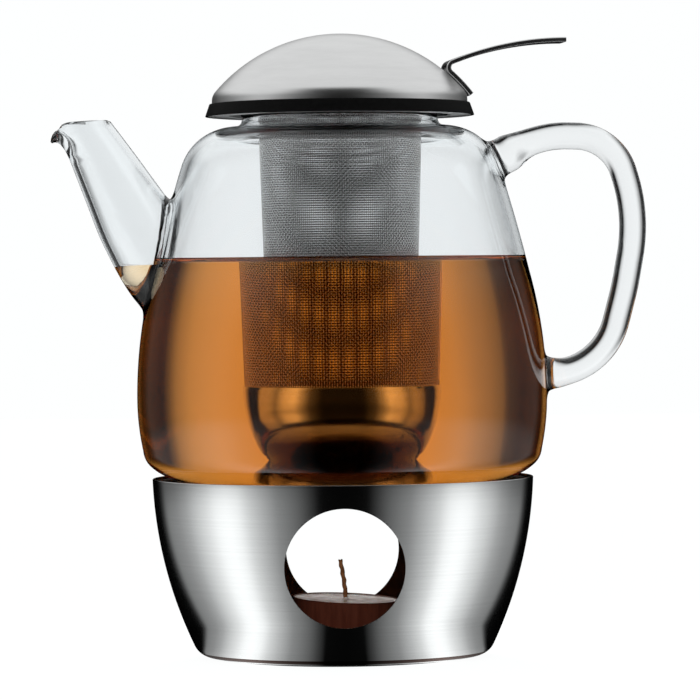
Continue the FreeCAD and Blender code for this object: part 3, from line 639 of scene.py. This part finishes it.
def make_glass():
    skins = [clear_glass, wetted_glass]
    inside = cavity_outline(GLASS_WALL)
    bore = POT_CORNERS[-1][0] - GLASS_WALL
    bore_foot = 195.2
    rim = [
        (35.6, 196.4), (35.3, 196.85), (34.7, NECK_TOP), (33.9, NECK_TOP), (bore + 0.15, 196.8),
        (bore, 196.2),
    ]
    back_down = [(r, z) for r, z in reversed(inside) if z < bore_foot - 0.8 or r > bore + 0.1]
    loop = POT_OUTSIDE + rim + [(bore, bore_foot)] + back_down
    first_wet = len(POT_OUTSIDE) + len(rim) - 1
    body = turned("glass_pot", loop, skins, POT_SEGMENTS, lambda r, z, run: int(run >= first_wet))
    above = 205.0
    cavity_loop = inside + [(bore, bore_foot), (bore, above), (0, above)]
    cavity = turned("cavity", cavity_loop, skins, POT_SEGMENTS, lambda r, z, run: 1)
    channel_rows = spout_rows(SPOUT_WALL + 0.02, 117.0, 172.0)
    channel = ringed("bore", channel_rows, skins, [1] * len(channel_rows))
    combine(body, channel, "DIFFERENCE")
    spout = combine(spout_tube(skins), cavity, "DIFFERENCE", keep=True)
    handle = combine(handle_rod(skins), cavity, "DIFFERENCE")
    combine(body, spout, "UNION")
    combine(body, handle, "UNION")
    fuse_joints(body, reach=5.5, rounds=24)
    # the glass is wetted up to the tea's level only
    level = TEA_LEVEL * MM
    with editing(body.data) as work:
        everything = [*work.verts, *work.edges, *work.faces]
        bmesh.ops.bisect_plane(work, geom=everything, plane_co=(0, 0, level), plane_no=(0, 0, 1), dist=1e-7)
        for face in work.faces:
            if face.material_index == 1 and face.calc_center_median().z > level:
                face.material_index = 0
    finish(body, "pot", ["glass_body", "glass_spout", "glass_handle"], "glass", 38)


# the tea's edge creeps up the glass: in from the wall, and up from the tea's level
MENISCUS = [
    (0.0, 2.0), (0.25, 1.55), (0.6, 1.15), (1.1, 0.8), (1.8, 0.45), (2.8, 0.2), (4.2, 0.06), (6.0, 0.0),
]


def make_tea():
    """The tea, a hair into the glass so that no air film shows between them."""
    grown = 0.25
    skins = [tea_side, tea_surface]
    side = [point for point in cavity_outline(GLASS_WALL - grown) if point[1] < TEA_LEVEL + 1.2]
    wall = side[-1][0] - 0.15
    rim = [(wall - across, TEA_LEVEL + rise) for across, rise in MENISCUS]
    loop = side + rim + straight(rim[-1], (0, TEA_LEVEL), 6.0)
    tea = turned("tea", loop, skins, POT_SEGMENTS, lambda r, z, run: int(run >= len(side)))
    branch = ringed("spout_tea", spout_rows(SPOUT_WALL - grown, 117.0, 160.0), skins)
    corners = [(-120, -60), (-20, -60), (-20, 60), (-120, 60)]
    air_rows = [[(x, y, z) for x, y in corners] for z in (TEA_LEVEL, TEA_LEVEL + 40)]
    air = ringed("above", air_rows, skins, [1, 1])
    combine(branch, air, "DIFFERENCE")
    combine(tea, branch, "UNION")
    finish(tea, "pot", [], "glass", 20)


make_glass()
make_tea()


# ---------------------------------------------------------------- warmer
WARMER_BELLY_RADIUS, WARMER_BELLY_LEVEL, WARMER_SIDE_RADIUS = 69.4, 71.0, 154.0


def warmer_across(level, inset=0.0):
    """Radius of the bowl's curved side at a level, outside or some way into the wall."""
    reach = math.sqrt((WARMER_SIDE_RADIUS - inset) ** 2 - (WARMER_BELLY_LEVEL - level) ** 2)
    return WARMER_BELLY_RADIUS - WARMER_SIDE_RADIUS + reach


def make_warmer():
    top, wall, floor = WARMER_RIM, WARMER_WALL, WARMER_FLOOR
    foot = 48.3
    corners = [
        (0, floor), (foot, floor), (warmer_across(5.0), 5.0), (warmer_across(top), top),
        (warmer_across(top) - wall, top), (warmer_across(5.5, wall), 5.5), (foot, floor + wall),
        (0, floor + wall),
    ]
    side = WARMER_SIDE_RADIUS
    arcs = {1: (6.9, 1), 2: (side, 1), 3: (0.55, 1), 4: (side - wall, -1), 5: (5.9, -1)}
    loop = outline(corners, arcs, step=1.1)
    skins = [brushed, painted_shade_steel]
    middle = wall / 2
    # the inner faces take the near-black steel, painted shade inside the bowl
    shell = turned("warmer_bowl", loop, skins, 360,
                   lambda r, z, run: int(r < warmer_across(z, middle) - 0.05 and z > floor + middle))
    hole, level = WARMER_HOLE_RADIUS, WARMER_HOLE_LEVEL
    circle = [around(hole, turn) for turn in turns(160)]
    tool = ringed("air_holes", [[(x, y, level + z) for x, z in circle] for y in (-90, 90)], skins)
    combine(shell, tool, "DIFFERENCE")
    ease_holes(shell, 0.75)
    weigh = shell.modifiers.new("weigh", "WEIGHTED_NORMAL")
    weigh.mode, weigh.weight, weigh.keep_sharp = "FACE_AREA", 80, True
    finish(shell, "warmer", ["warmer_shell"], "warmer_steel", 50)
    settle(shell)


def ease_holes(shell, width):
    """Round over the outer edges of the two air holes."""

    def on_edge(point):
        off = math.hypot(point.x, point.z - WARMER_HOLE_LEVEL) - WARMER_HOLE_RADIUS
        return abs(off) < 0.05 and math.hypot(point.x, point.y) > warmer_across(point.z, WARMER_WALL / 2)

    with editing(shell.data) as work:
        edges = [
            edge for edge in work.edges
            if len(edge.link_faces) == 2 and edge.calc_face_angle(0.0) >= math.radians(40)
            and all(on_edge(vertex.co / MM) for vertex in edge.verts)
        ]
        bmesh.ops.bevel(work, geom=edges, offset=width * MM, segments=5, profile=0.5, affect="EDGES",
                        clamp_overlap=True)


make_warmer()
turned_piece(
    "pot_ledge",
    [(48.0, 62.05), (48.8, 62.05), (48.8, 64.05), (67.1, 64.05), (67.1, 59.05), (67.9, 59.05), (67.9, 64.85),
     (48.0, 64.85)],
    0.5, plain_steel, 256, "warmer", "pot_rest_ring", "rest_steel",
)
# the candle dish, deep in the warmer, takes the painted-shade steel
turned_piece(
    "candle_dish",
    [(0, 3.8), (19.8, 3.8), (19.8, 2.0), (27.0, 2.0), (27.0, 2.8), (21.0, 2.8), (21.0, 8.6), (20.2, 8.6),
     (20.2, 4.6), (0, 4.6)],
    0.35, painted_shade_steel, 160, "warmer", "candle_holder", "rest_steel",
)
turned_piece("foot_pad", rectangle(0, 42.0, 0, WARMER_FLOOR), 0.4, pad_rubber, 128, "warmer", "base_pad",
             "pad_rubber")


# ---------------------------------------------------------------- tea light
def leant(made):
    """The loose tea light sits a little askew in its dish, one edge of its base still on it."""
    lean = Matrix.Rotation(math.radians(2.6), 3, "Y") @ Matrix.Rotation(math.radians(1.8), 3, "X")
    foot, lift = Vector((0, 0, TEALIGHT_BASE * MM)), Vector((0, 0, 1.05 * MM))
    for vertex in made.data.vertices:
        vertex.co = foot + lean @ (vertex.co - foot) + lift


def make_cup():
    base, top, side, foil_wall = TEALIGHT_BASE, TEALIGHT_TOP, TEALIGHT_RADIUS, 0.3
    lip, inner = side + foil_wall, side - foil_wall
    cup_outline = softened(
        [(0, base), (side - 0.4, base), (side, base + 0.5), (side, top - 0.35), (lip, top - 0.3), (lip, top),
         (side - 0.2, top), (inner, top - 0.3), (inner, base + foil_wall), (0, base + foil_wall)],
        0.12,
    )
    cup = turned("tealight_tin_cup", cup_outline, [foil], 180)
    flutes, depth = 60, 0.05
    for vertex in cup.data.vertices:
        turn = math.atan2(vertex.co.y, vertex.co.x)
        across = math.hypot(vertex.co.x, vertex.co.y)
        if across > (side - 0.4) * MM and vertex.co.z > (base + 1) * MM:
            flute = depth * MM * math.sin(turn * flutes) * smoothstep(base + 1, base + 4, vertex.co.z / MM)
            vertex.co.x += flute * math.cos(turn)
            vertex.co.y += flute * math.sin(turn)
    leant(cup)
    finish(cup, "tealight", ["tealight_cup"], "foil")


def make_wax():
    base, level, inner = TEALIGHT_BASE + 0.3, TEALIGHT_TOP - 0.6, TEALIGHT_RADIUS - 0.3
    surface = [
        (inner, base), (inner, level + 0.35), (18.2, level + 0.1), (16.0, level), (9.0, level - 0.15),
        (4.0, level - 0.1), (1.6, level + 0.1), (0.8, level + 0.7), (0.76, level + 0.9),
    ]
    under = [(0.76, 8.0), (1.4, 8.0), (1.4, 5.3), (6.0, 5.3), (6.0, base)]
    body = turned("wax_disc", surface + under, [wax], 160)
    for vertex in body.data.vertices:
        x, y, z = vertex.co / MM
        if z > level - 1 and 1.2 < math.hypot(x, y) < 18:
            ripple = math.sin(x * 0.9 + 1.3 * math.sin(y * 0.7)) * math.cos(y * 1.1 + math.sin(x * 0.5))
            vertex.co.z += 0.10 * MM * ripple
    leant(body)
    finish(body, "tealight", ["tealight_wax"], "wax", 40)


def make_wick():
    """Twisted cord that leans over above the wax."""
    low, bend, high = 5.3, 19.0, WICK_TOP
    steps = 60
    rows = []
    for index in range(steps + 1):
        part = index / steps
        z = low + (high - low) * part
        lean = max(z - bend, 0.0) / (high - bend)
        x = -2.6 * lean**1.5 + 0.12 * math.sin(z * 1.9) * lean
        y = 0.10 * math.sin(z * 1.3 + 1) * lean
        radius = 0.80 * (1 + 0.06 * math.sin(z * 2.6)) * (1 - 0.10 * smoothstep(0.9, 1.0, part))
        row = []
        for turn in turns(24):
            strand = radius * (1 + 0.10 * math.cos(3 * turn + z * 1.6))
            frayed = z + 0.35 * math.sin(2 * turn) * smoothstep(0.97, 1.0, part)
            row.append((x + strand * math.cos(turn), y + strand * math.sin(turn), frayed))
        rows.append(row)
    cord = ringed("cotton_wick", rows, [wick_cord])
    leant(cord)
    finish(cord, "tealight", ["tealight_wick"], "wick", 60)


def make_clip():
    stem = softened([(0.76, 5.0), (6.0, 5.0), (6.0, 5.3), (1.4, 5.3), (1.4, 8.0), (0.76, 8.0)], 0.1)
    clip = turned("wick_clip", stem, [tin], 96)
    leant(clip)
    finish(clip, "tealight", ["wick_sustainer"], "tin")


make_cup()
make_wax()
make_wick()
make_clip()


# ---------------------------------------------------------------- infuser
def mesh_radius(level):
    """Middle of the woven cloth at a level."""
    part = min(max((level - MESH_FOOT) / (MESH_TOP - MESH_FOOT), 0.0), 1.0)
    return MESH_FOOT_RADIUS + (MESH_TOP_RADIUS - MESH_FOOT_RADIUS) * part


WIRE_COLUMNS = 212
WIRE_PITCH = 0.86
WIRE_RADIUS = 0.195


def weave(name, warp):
    """Wires of a plain weave, three-sided and shaded smooth: uprights if warp, else hoops."""
    low, high = 96.2, 198.2
    sides = 3
    hoops = int((high - low) / WIRE_PITCH)
    points, faces = [], []
    wires, knots = (WIRE_COLUMNS, hoops) if warp else (hoops, WIRE_COLUMNS)
    for w in range(wires):
        first = len(points)
        for k in range(knots):
            column, hoop = (w, k) if warp else (k, w)
            level = low + WIRE_PITCH * hoop
            turn = 2 * math.pi * column / WIRE_COLUMNS
            swing = WIRE_RADIUS * (1 if (column + hoop) % 2 else -1) * (1 if warp else -1) * 1.05
            out = Vector((math.cos(turn), math.sin(turn), 0))
            place = out * (mesh_radius(level) + swing) + Vector((0, 0, level))
            side = Vector((-math.sin(turn), math.cos(turn), 0)) if warp else Vector((0, 0, 1))
            for spoke in range(sides):
                angle = 2 * math.pi * spoke / sides
                reach = (out * math.cos(angle) + side * math.sin(angle)) * WIRE_RADIUS * 1.15
                points.append(tuple(place + reach))
        for k in range(knots - 1 if warp else knots):
            one, other = first + sides * k, first + sides * ((k + 1) % knots)
            for spoke in range(sides):
                after = (spoke + 1) % sides
                faces.append((one + spoke, one + after, other + after, other + spoke))
        if warp:
            last = first + sides * (knots - 1)
            faces += [(first, first + 1, first + 2), (last, last + 1, last + 2)]
    # uprights take the light copy and hoops the dark one: painted highlight and painted shade of the weave
    made = new_object(name, points, faces, [lit_wire_steel if warp else shaded_hoop_steel])
    made.data.shade_smooth()
    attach(made, "infuser")
    return made


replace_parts(weave("mesh_uprights", True), "infuser_mesh")
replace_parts(weave("mesh_hoops", False), "infuser_mesh")

turned_piece(
    "infuser_cup",
    [(0, 71.0), (15.8, 71.0), (23.7, 82.0), (27.3, MESH_FOOT), (26.8, MESH_FOOT), (23.2, 82.25),
     (15.55, 71.5), (0, 71.5)],
    0.2, bowl_steel, 256, "infuser", "infuser_bowl", "infuser_steel",
    arcs={1: (33.4, 1), 2: (41.5, 1), 4: (41.0, -1), 5: (32.9, -1)},
)
turned_piece("infuser_rim", rectangle(29.1, 36.4, MESH_TOP, 199.2), 0.3, plain_steel, 256, "infuser",
             "infuser_flange", "infuser_steel")
turned_piece("infuser_throat", rectangle(28.55, 29.1, 195.4, 200.8), 0.2, plain_steel, 256, "infuser",
             "infuser_collar", "infuser_steel")
turned_piece("infuser_band", rectangle(25.6, 26.1, 95.5, 99.7), 0.2, bowl_steel, 256, "infuser",
             "crimp_band", "infuser_steel")


def make_gasket():
    """Flat silicone ring with a pull tab towards the handle, its tab corners rounded."""
    low, high, ease = 197.15, MESH_TOP, 0.3
    inside, outside = 30.0, 36.0
    half, reach, corner = 6.5, 39.3, 2.0
    edge = math.asin(half / outside)
    steps = 220
    outer = []
    for i in range(steps + 1):
        outer.append(around(outside, edge + (2 * math.pi - 2 * edge) * i / steps))
    for side, first in ((-1, -8), (1, 0)):
        for part in range(first, first + 9):
            x, y = around(corner, math.pi * part / 16)
            outer.append((reach - corner + x, side * (half - corner) + y))
    inner = [around(inside, math.atan2(y, x)) for x, y in outer]
    rows = []
    for shrink, level in ((ease, low), (0.0, low + ease), (0.0, high - ease), (ease, high)):
        keeps = [1 - shrink / math.hypot(x, y) for x, y in outer]
        rows.append([(x * keep, y * keep, level) for (x, y), keep in zip(outer, keeps)])
    rows += [[(x, y, level) for x, y in inner] for level in (high, low)]
    seal = ringed("silicone_seal", rows, [black_rubber], wrap=True)
    finish(seal, "infuser", ["neck_gasket"], "gasket_rubber", 40)


make_gasket()


def make_seam():
    """Folded overlap up the handle side of the mesh, a strip with soft edges."""
    half_width, low, high, steps = 2.0, 100.4, 198.2, 90
    # out from the weave, and across as a share of half the width
    section = [(0, -1), (0.15, -0.95), (0.25, -0.8), (0.25, 0), (0.25, 0.8), (0.15, 0.95), (0, 1), (0, 0)]
    rows = []
    for index in range(steps + 1):
        level = low + (high - low) * index / steps
        radius = mesh_radius(level) + 0.25
        half = half_width / radius
        rows.append([(*around(radius + out, half * part), level) for out, part in section])
    # the overlap takes the light copy of the wire steel, a painted highlight
    finish(ringed("mesh_overlap", rows, [lit_wire_steel]), "infuser", ["mesh_seam"], "infuser_steel", 50)


make_seam()


# ---------------------------------------------------------------- lid
def make_dome():
    """Cap turned from a part of a sphere, with a rounded knee into a short upright edge."""
    foot, edge_top, knee_top = 198.0, 202.9, 206.3
    wall = 0.8
    top = LID_CENTRE + LID_RADIUS
    knee_across = math.sqrt(LID_RADIUS**2 - (knee_top - LID_CENTRE) ** 2)
    outside = [(LID_EDGE_RADIUS, foot), (LID_EDGE_RADIUS, 201.9), (LID_EDGE_RADIUS, edge_top)]
    outside += arc(outside[-1], (knee_across, knee_top), 5.2, 1, 0.25)
    outside += arc(outside[-1], (0, top), LID_RADIUS, 1, 1.1)
    outside[-1] = (0, top)
    inner, inner_edge = LID_RADIUS - wall, LID_EDGE_RADIUS - wall
    spring = LID_CENTRE + math.sqrt(inner**2 - inner_edge**2)
    inside = [(0, LID_CENTRE + inner)] + arc((0, LID_CENTRE + inner), (inner_edge, spring), inner, -1, 1.5)
    inside += [(inner_edge, foot)]
    finish(turned("lid_cap", outside + inside, [satin_lid], 320), "lid", ["lid_dome"], "lid_steel", 50)


make_dome()
turned_piece(
    "lid_underside",
    [(40.2, 197.2), (47.9, 197.2), (47.9, 198.0), (41.0, 198.0), (41.0, 201.95), (0, 201.95), (0, 201.15),
     (40.2, 201.15)],
    0.5, plate_steel, 256, "lid", "lid_plate", "plate_steel",
)
turned_piece(
    "lid_band",
    [(47.9, 197.2), (49.0, 197.2), (47.4, 201.8), (LID_EDGE_RADIUS, 201.8), (LID_EDGE_RADIUS, 198.0),
     (47.9, 198.0)],
    0.28, black_rubber, 320, "lid", "lid_ring", "ring_rubber", degrees=50,
)
turned_piece("lid_skirt", rectangle(27.1, 27.9, 197.3, 201.15), 0.3, plate_steel, 200, "lid", "lid_plug",
             "plate_steel")


def make_lever():
    """Bent strap: foot on the dome, tight bend, and an arm that rises and ends level."""
    half, bend, arm = 0.85, 2.3, 113.0
    foot_level, tip_across, tip_level = 204.7, 82.7, 224.6
    dome = Vector((0.0, LID_CENTRE))
    foot = LID_RADIUS + half
    arm_centre = Vector((tip_across, tip_level - arm))
    # the bend touches the dome's curve and the arm's, so its centre lies a known way from both of theirs
    gap = (arm_centre - dome).length
    along = ((foot + bend) ** 2 - (arm - bend) ** 2 + gap**2) / (2 * gap)
    across = math.sqrt((foot + bend) ** 2 - along**2)
    unit = (arm_centre - dome).normalized()
    bend_centre = dome + unit * along + Vector((-unit.y, unit.x)) * across
    to_foot, to_arm = (bend_centre - dome).normalized(), (bend_centre - arm_centre).normalized()
    low_angle = math.acos((foot_level - dome.y) / foot)
    low = Vector((math.sin(low_angle), math.cos(low_angle)))
    spine = [tuple(dome + low * foot)]
    spine += arc(spine[0], tuple(dome + to_foot * foot), foot, 1, 1.0)
    spine += arc(spine[-1], tuple(arm_centre + to_arm * arm), bend, -1, 0.25)
    spine += arc(spine[-1], tuple(arm_centre + Vector((0, arm))), arm, -1, 1.5)
    yaw = Matrix.Rotation(LEVER_YAW, 3, "Z")
    width = LEVER_WIDTH / 2
    ease = 0.3
    under = [
        (ease - half, -width), (-half, ease - width), (-half, 0), (-half, width - ease), (ease - half, width),
    ]
    section = under + [(-rise, side) for rise, side in reversed(under)]
    rows = []
    for index, (x, z) in enumerate(spine):
        before, after = spine[max(index - 1, 0)], spine[min(index + 1, len(spine) - 1)]
        run = Vector((after[0] - before[0], after[1] - before[1])).normalized()
        places = [Vector((x - run.y * rise, side, z + run.x * rise)) for rise, side in section]
        rows.append([tuple(yaw @ place) for place in places])
    finish(ringed("lid_strap", rows, [lever_steel]), "lid", ["lid_lever"], "lever_steel", 30)


make_lever()


# ---------------------------------------------------------------- studio
# light by degrees round from the camera's side: what mirrors show, and what glass lets through.
# Glass sees a white backdrop behind with black cards beside it, and soft boxes at both sides.
MIRRORED = [
    (0, 0.002), (15, 0.003), (21, 0.07), (28, 0.18), (41, 0.36), (52, 0.70), (60, 1.00), (68, 1.45),
    (76, 1.60), (84, 1.50), (93, 1.15), (103, 0.85), (113, 0.55), (124, 0.38), (139, 0.28), (146, 0.05),
    (152, 0.0), (180, 0.0),
]
THROUGH = [
    (-180, 1.0), (-169, 1.0), (-163, 0.80), (-159, 0.55), (-155, 0.38), (-152, 0.26), (-150, 0.06),
    (-144, 0.01), (-125, 0.02), (-118, 0.80), (-100, 0.80), (-88, 0.45), (-76, 1.20), (-60, 1.60),
    (-50, 0.70), (-40, 0.15), (-26, 0.02), (26, 0.02), (40, 0.15), (50, 0.70), (60, 1.60), (76, 1.20),
    (88, 0.45), (100, 0.70), (113, 0.45), (122, 0.06), (143, 0.0), (146, 0.16), (149, 0.44), (154, 0.76),
    (161, 0.96), (180, 1.0),
]
HORIZON_GAP = 0.42       # mirrors see less light straight out than up or down
OVERHEAD = 0.92
LIGHT_TINT = (0.99, 1.0, 1.0, 1)
MIRROR_OFFSET, GLASS_OFFSET = 0.0325, 0.022    # how far beside the axis rays leave steel and glass, in metres


def reckon(tree, kind, *values, clamp=False):
    made = node(tree, "Math")
    made.operation, made.use_clamp = kind, clamp
    for value, target in zip(values, made.inputs):
        wire(tree, value, target)
    return made.outputs[0]


def blend_of(tree, share, one, other):
    made = node(tree, "Mix")
    made.data_type = "FLOAT"
    for key, value in (("Factor", share), ("A", one), ("B", other)):
        wire(tree, value, made.inputs[key])
    return made.outputs["Result"]


def eased(tree, value, low, high):
    made = node(tree, "MapRange", From_Min=low, From_Max=high)
    made.interpolation_type = "SMOOTHSTEP"
    wire(tree, value, made.inputs["Value"])
    return made.outputs["Result"]


def ramp_of(tree, place, stops, low, high):
    ramp = node(tree, "ValToRGB")
    elements = ramp.color_ramp.elements
    for index, (angle, level) in enumerate(stops):
        position = (angle - low) / (high - low)
        element = elements[index] if index < 2 else elements.new(position)
        element.position = position
        element.color = (*grey(level), 1)
    wire(tree, place, ramp.inputs["Fac"])
    return ramp.outputs["Color"]


def studio_level(tree, place, spread=1.0, narrowing=1.0):
    """Light from one way round the object. A point close by is seen from beside the axis: spread widens its
    way round for mirrored rays, and narrowing does the opposite for rays through glass."""
    towards = reckon(tree, "MULTIPLY", place["Y"], -1.0)
    turn = reckon(tree, "MULTIPLY", reckon(tree, "ARCTAN2", place["X"], towards), 1 / math.pi)
    wide = reckon(tree, "ABSOLUTE", turn)
    plain = reckon(tree, "MULTIPLY", wide, spread, clamp=True)
    mirrored = ramp_of(tree, plain, MIRRORED, 0, 180)
    path = node(tree, "LightPath")
    # rays that only went through glass find the backdrop on both sides of the object
    direct = reckon(tree, "LESS_THAN", path.outputs["Glossy Depth"], 0.5)
    bent = reckon(tree, "MULTIPLY", wide, narrowing, clamp=True)
    folded = reckon(tree, "MAXIMUM", bent, reckon(tree, "SUBTRACT", 1.0, bent))
    half = reckon(tree, "MULTIPLY", blend_of(tree, direct, bent, folded), reckon(tree, "SIGN", turn))
    through = ramp_of(tree, reckon(tree, "MULTIPLY_ADD", half, 0.5, 0.5), THROUGH, -180, 180)
    level = blend_of(tree, path.outputs["Is Transmission Ray"], mirrored, through)
    return {"rays": path.outputs, "direct": direct, "round": plain, "level": level}


def make_world():
    world = bpy.data.worlds.new("studio")
    scene.world = world
    tree, output = blank_tree(world, "OutputWorld")
    place = coordinates(tree, "TexCoord", "Generated")
    studio = studio_level(tree, place)
    through = studio["rays"]["Is Transmission Ray"]
    level = reckon(tree, "MULTIPLY", studio["level"], blend_of(tree, through, HORIZON_GAP, 1.0))
    # higher up the light is even except above the camera, and straight up it is even all round
    upper = reckon(tree, "MULTIPLY", eased(tree, studio["round"], 20 / 180, 70 / 180), OVERHEAD)
    upper = reckon(tree, "MAXIMUM", upper, reckon(tree, "MULTIPLY", through, 0.45))
    level = blend_of(tree, eased(tree, place["Z"], 0.2, 0.45), level, upper)
    level = blend_of(tree, eased(tree, place["Z"], 0.8, 0.97), level, OVERHEAD)
    level = blend_of(tree, studio["rays"]["Is Camera Ray"], level, 1.0)
    light = node(tree, "Background", Color=LIGHT_TINT)
    wire(tree, level, light.inputs["Strength"])
    wire(tree, light.outputs["Background"], output.inputs["Surface"])


def make_floor():
    """Pale, evenly lit table top; mirrors and glass see the studio's light go round on it too."""
    material = bpy.data.materials.new("pale_floor")
    tree, output = blank_tree(material, "OutputMaterial")
    place = coordinates(tree, "NewGeometry", "Position")
    squares = [reckon(tree, "POWER", place[axis], 2.0) for axis in ("X", "Y")]
    far = reckon(tree, "MAXIMUM", reckon(tree, "SQRT", reckon(tree, "ADD", *squares)), 0.075)
    spread = reckon(tree, "DIVIDE", far, reckon(tree, "SUBTRACT", far, MIRROR_OFFSET))
    shift = reckon(tree, "DIVIDE", GLASS_OFFSET, reckon(tree, "MAXIMUM", far, 0.3))
    studio = studio_level(tree, place, spread, reckon(tree, "SUBTRACT", 1.0, shift))
    under = reckon(tree, "MAXIMUM", studio["direct"], eased(tree, far, 0.10, 0.40))
    gap = blend_of(tree, eased(tree, far, 0.35, 0.85), 1.0, HORIZON_GAP)
    shown = blend_of(tree, studio["rays"]["Is Transmission Ray"], gap, under)
    level = reckon(tree, "MULTIPLY", studio["level"], shown)
    seen = reckon(tree, "MAXIMUM", studio["rays"]["Is Camera Ray"], studio["rays"]["Is Diffuse Ray"])
    glow = node(tree, "Emission", Color=LIGHT_TINT)
    wire(tree, blend_of(tree, seen, level, 0.97), glow.inputs["Strength"])
    matt = node(tree, "BsdfDiffuse")
    wire(tree, reckon(tree, "MULTIPLY", studio["rays"]["Is Camera Ray"], 0.06), matt.inputs["Color"])
    both = node(tree, "AddShader")
    wire(tree, glow.outputs["Emission"], both.inputs[0])
    wire(tree, matt.outputs["BSDF"], both.inputs[1])
    wire(tree, both.outputs["Shader"], output.inputs["Surface"])
    mesh = bpy.data.meshes.new("floor")
    reach = 3.0
    corners = ((-reach, -reach), (reach, -reach), (reach, reach), (-reach, reach))
    mesh.from_pydata([(x, y, 0) for x, y in corners], [], [(0, 1, 2, 3)])
    mesh.materials.append(material)
    floor = bpy.data.objects.new("floor", mesh)
    scene.collection.objects.link(floor)


def make_lamp(name, place, aim, size, power):
    """Soft lamp that only fills matt surfaces, such as the wax inside the warmer."""
    data = bpy.data.lights.new(name, "AREA")
    data.shape, data.size, data.energy = "DISK", size, power
    lamp = bpy.data.objects.new(name, data)
    lamp.location = place
    lamp.rotation_euler = (Vector(aim) - Vector(place)).to_track_quat("-Z", "Y").to_euler()
    lamp.visible_camera = lamp.visible_glossy = lamp.visible_transmission = False
    scene.collection.objects.link(lamp)


def make_camera():
    data = bpy.data.cameras.new("camera")
    data.lens, data.sensor_width = 231.0, 36.0
    data.clip_start, data.clip_end = 0.05, 20.0
    eye, aim = Vector((-0.0116, -1.636, 0.1356)), Vector((0.003, 0.0, 0.112))
    camera = bpy.data.objects.new("camera", data)
    camera.location = eye
    look = (aim - eye).to_track_quat("-Z", "Y")
    roll = Quaternion((0, 0, 1), math.radians(-0.5))
    camera.rotation_euler = (look @ roll).to_euler()
    scene.collection.objects.link(camera)
    scene.camera = camera


make_world()
make_floor()
make_lamp("lamp_behind", (0.0, 0.24, 0.125), (0.0, 0.0, 0.02), 0.05, 0.8)
make_lamp("lamp_front", (-0.03, -0.35, 0.10), (0.0, 0.0, 0.03), 0.06, 0.5)
make_camera()

scene.view_settings.view_transform = "Standard"
scene.cycles.max_bounces = 28
scene.cycles.transmission_bounces = 28
scene.cycles.glossy_bounces = 8
scene.cycles.diffuse_bounces = 4
scene.cycles.transparent_max_bounces = 16
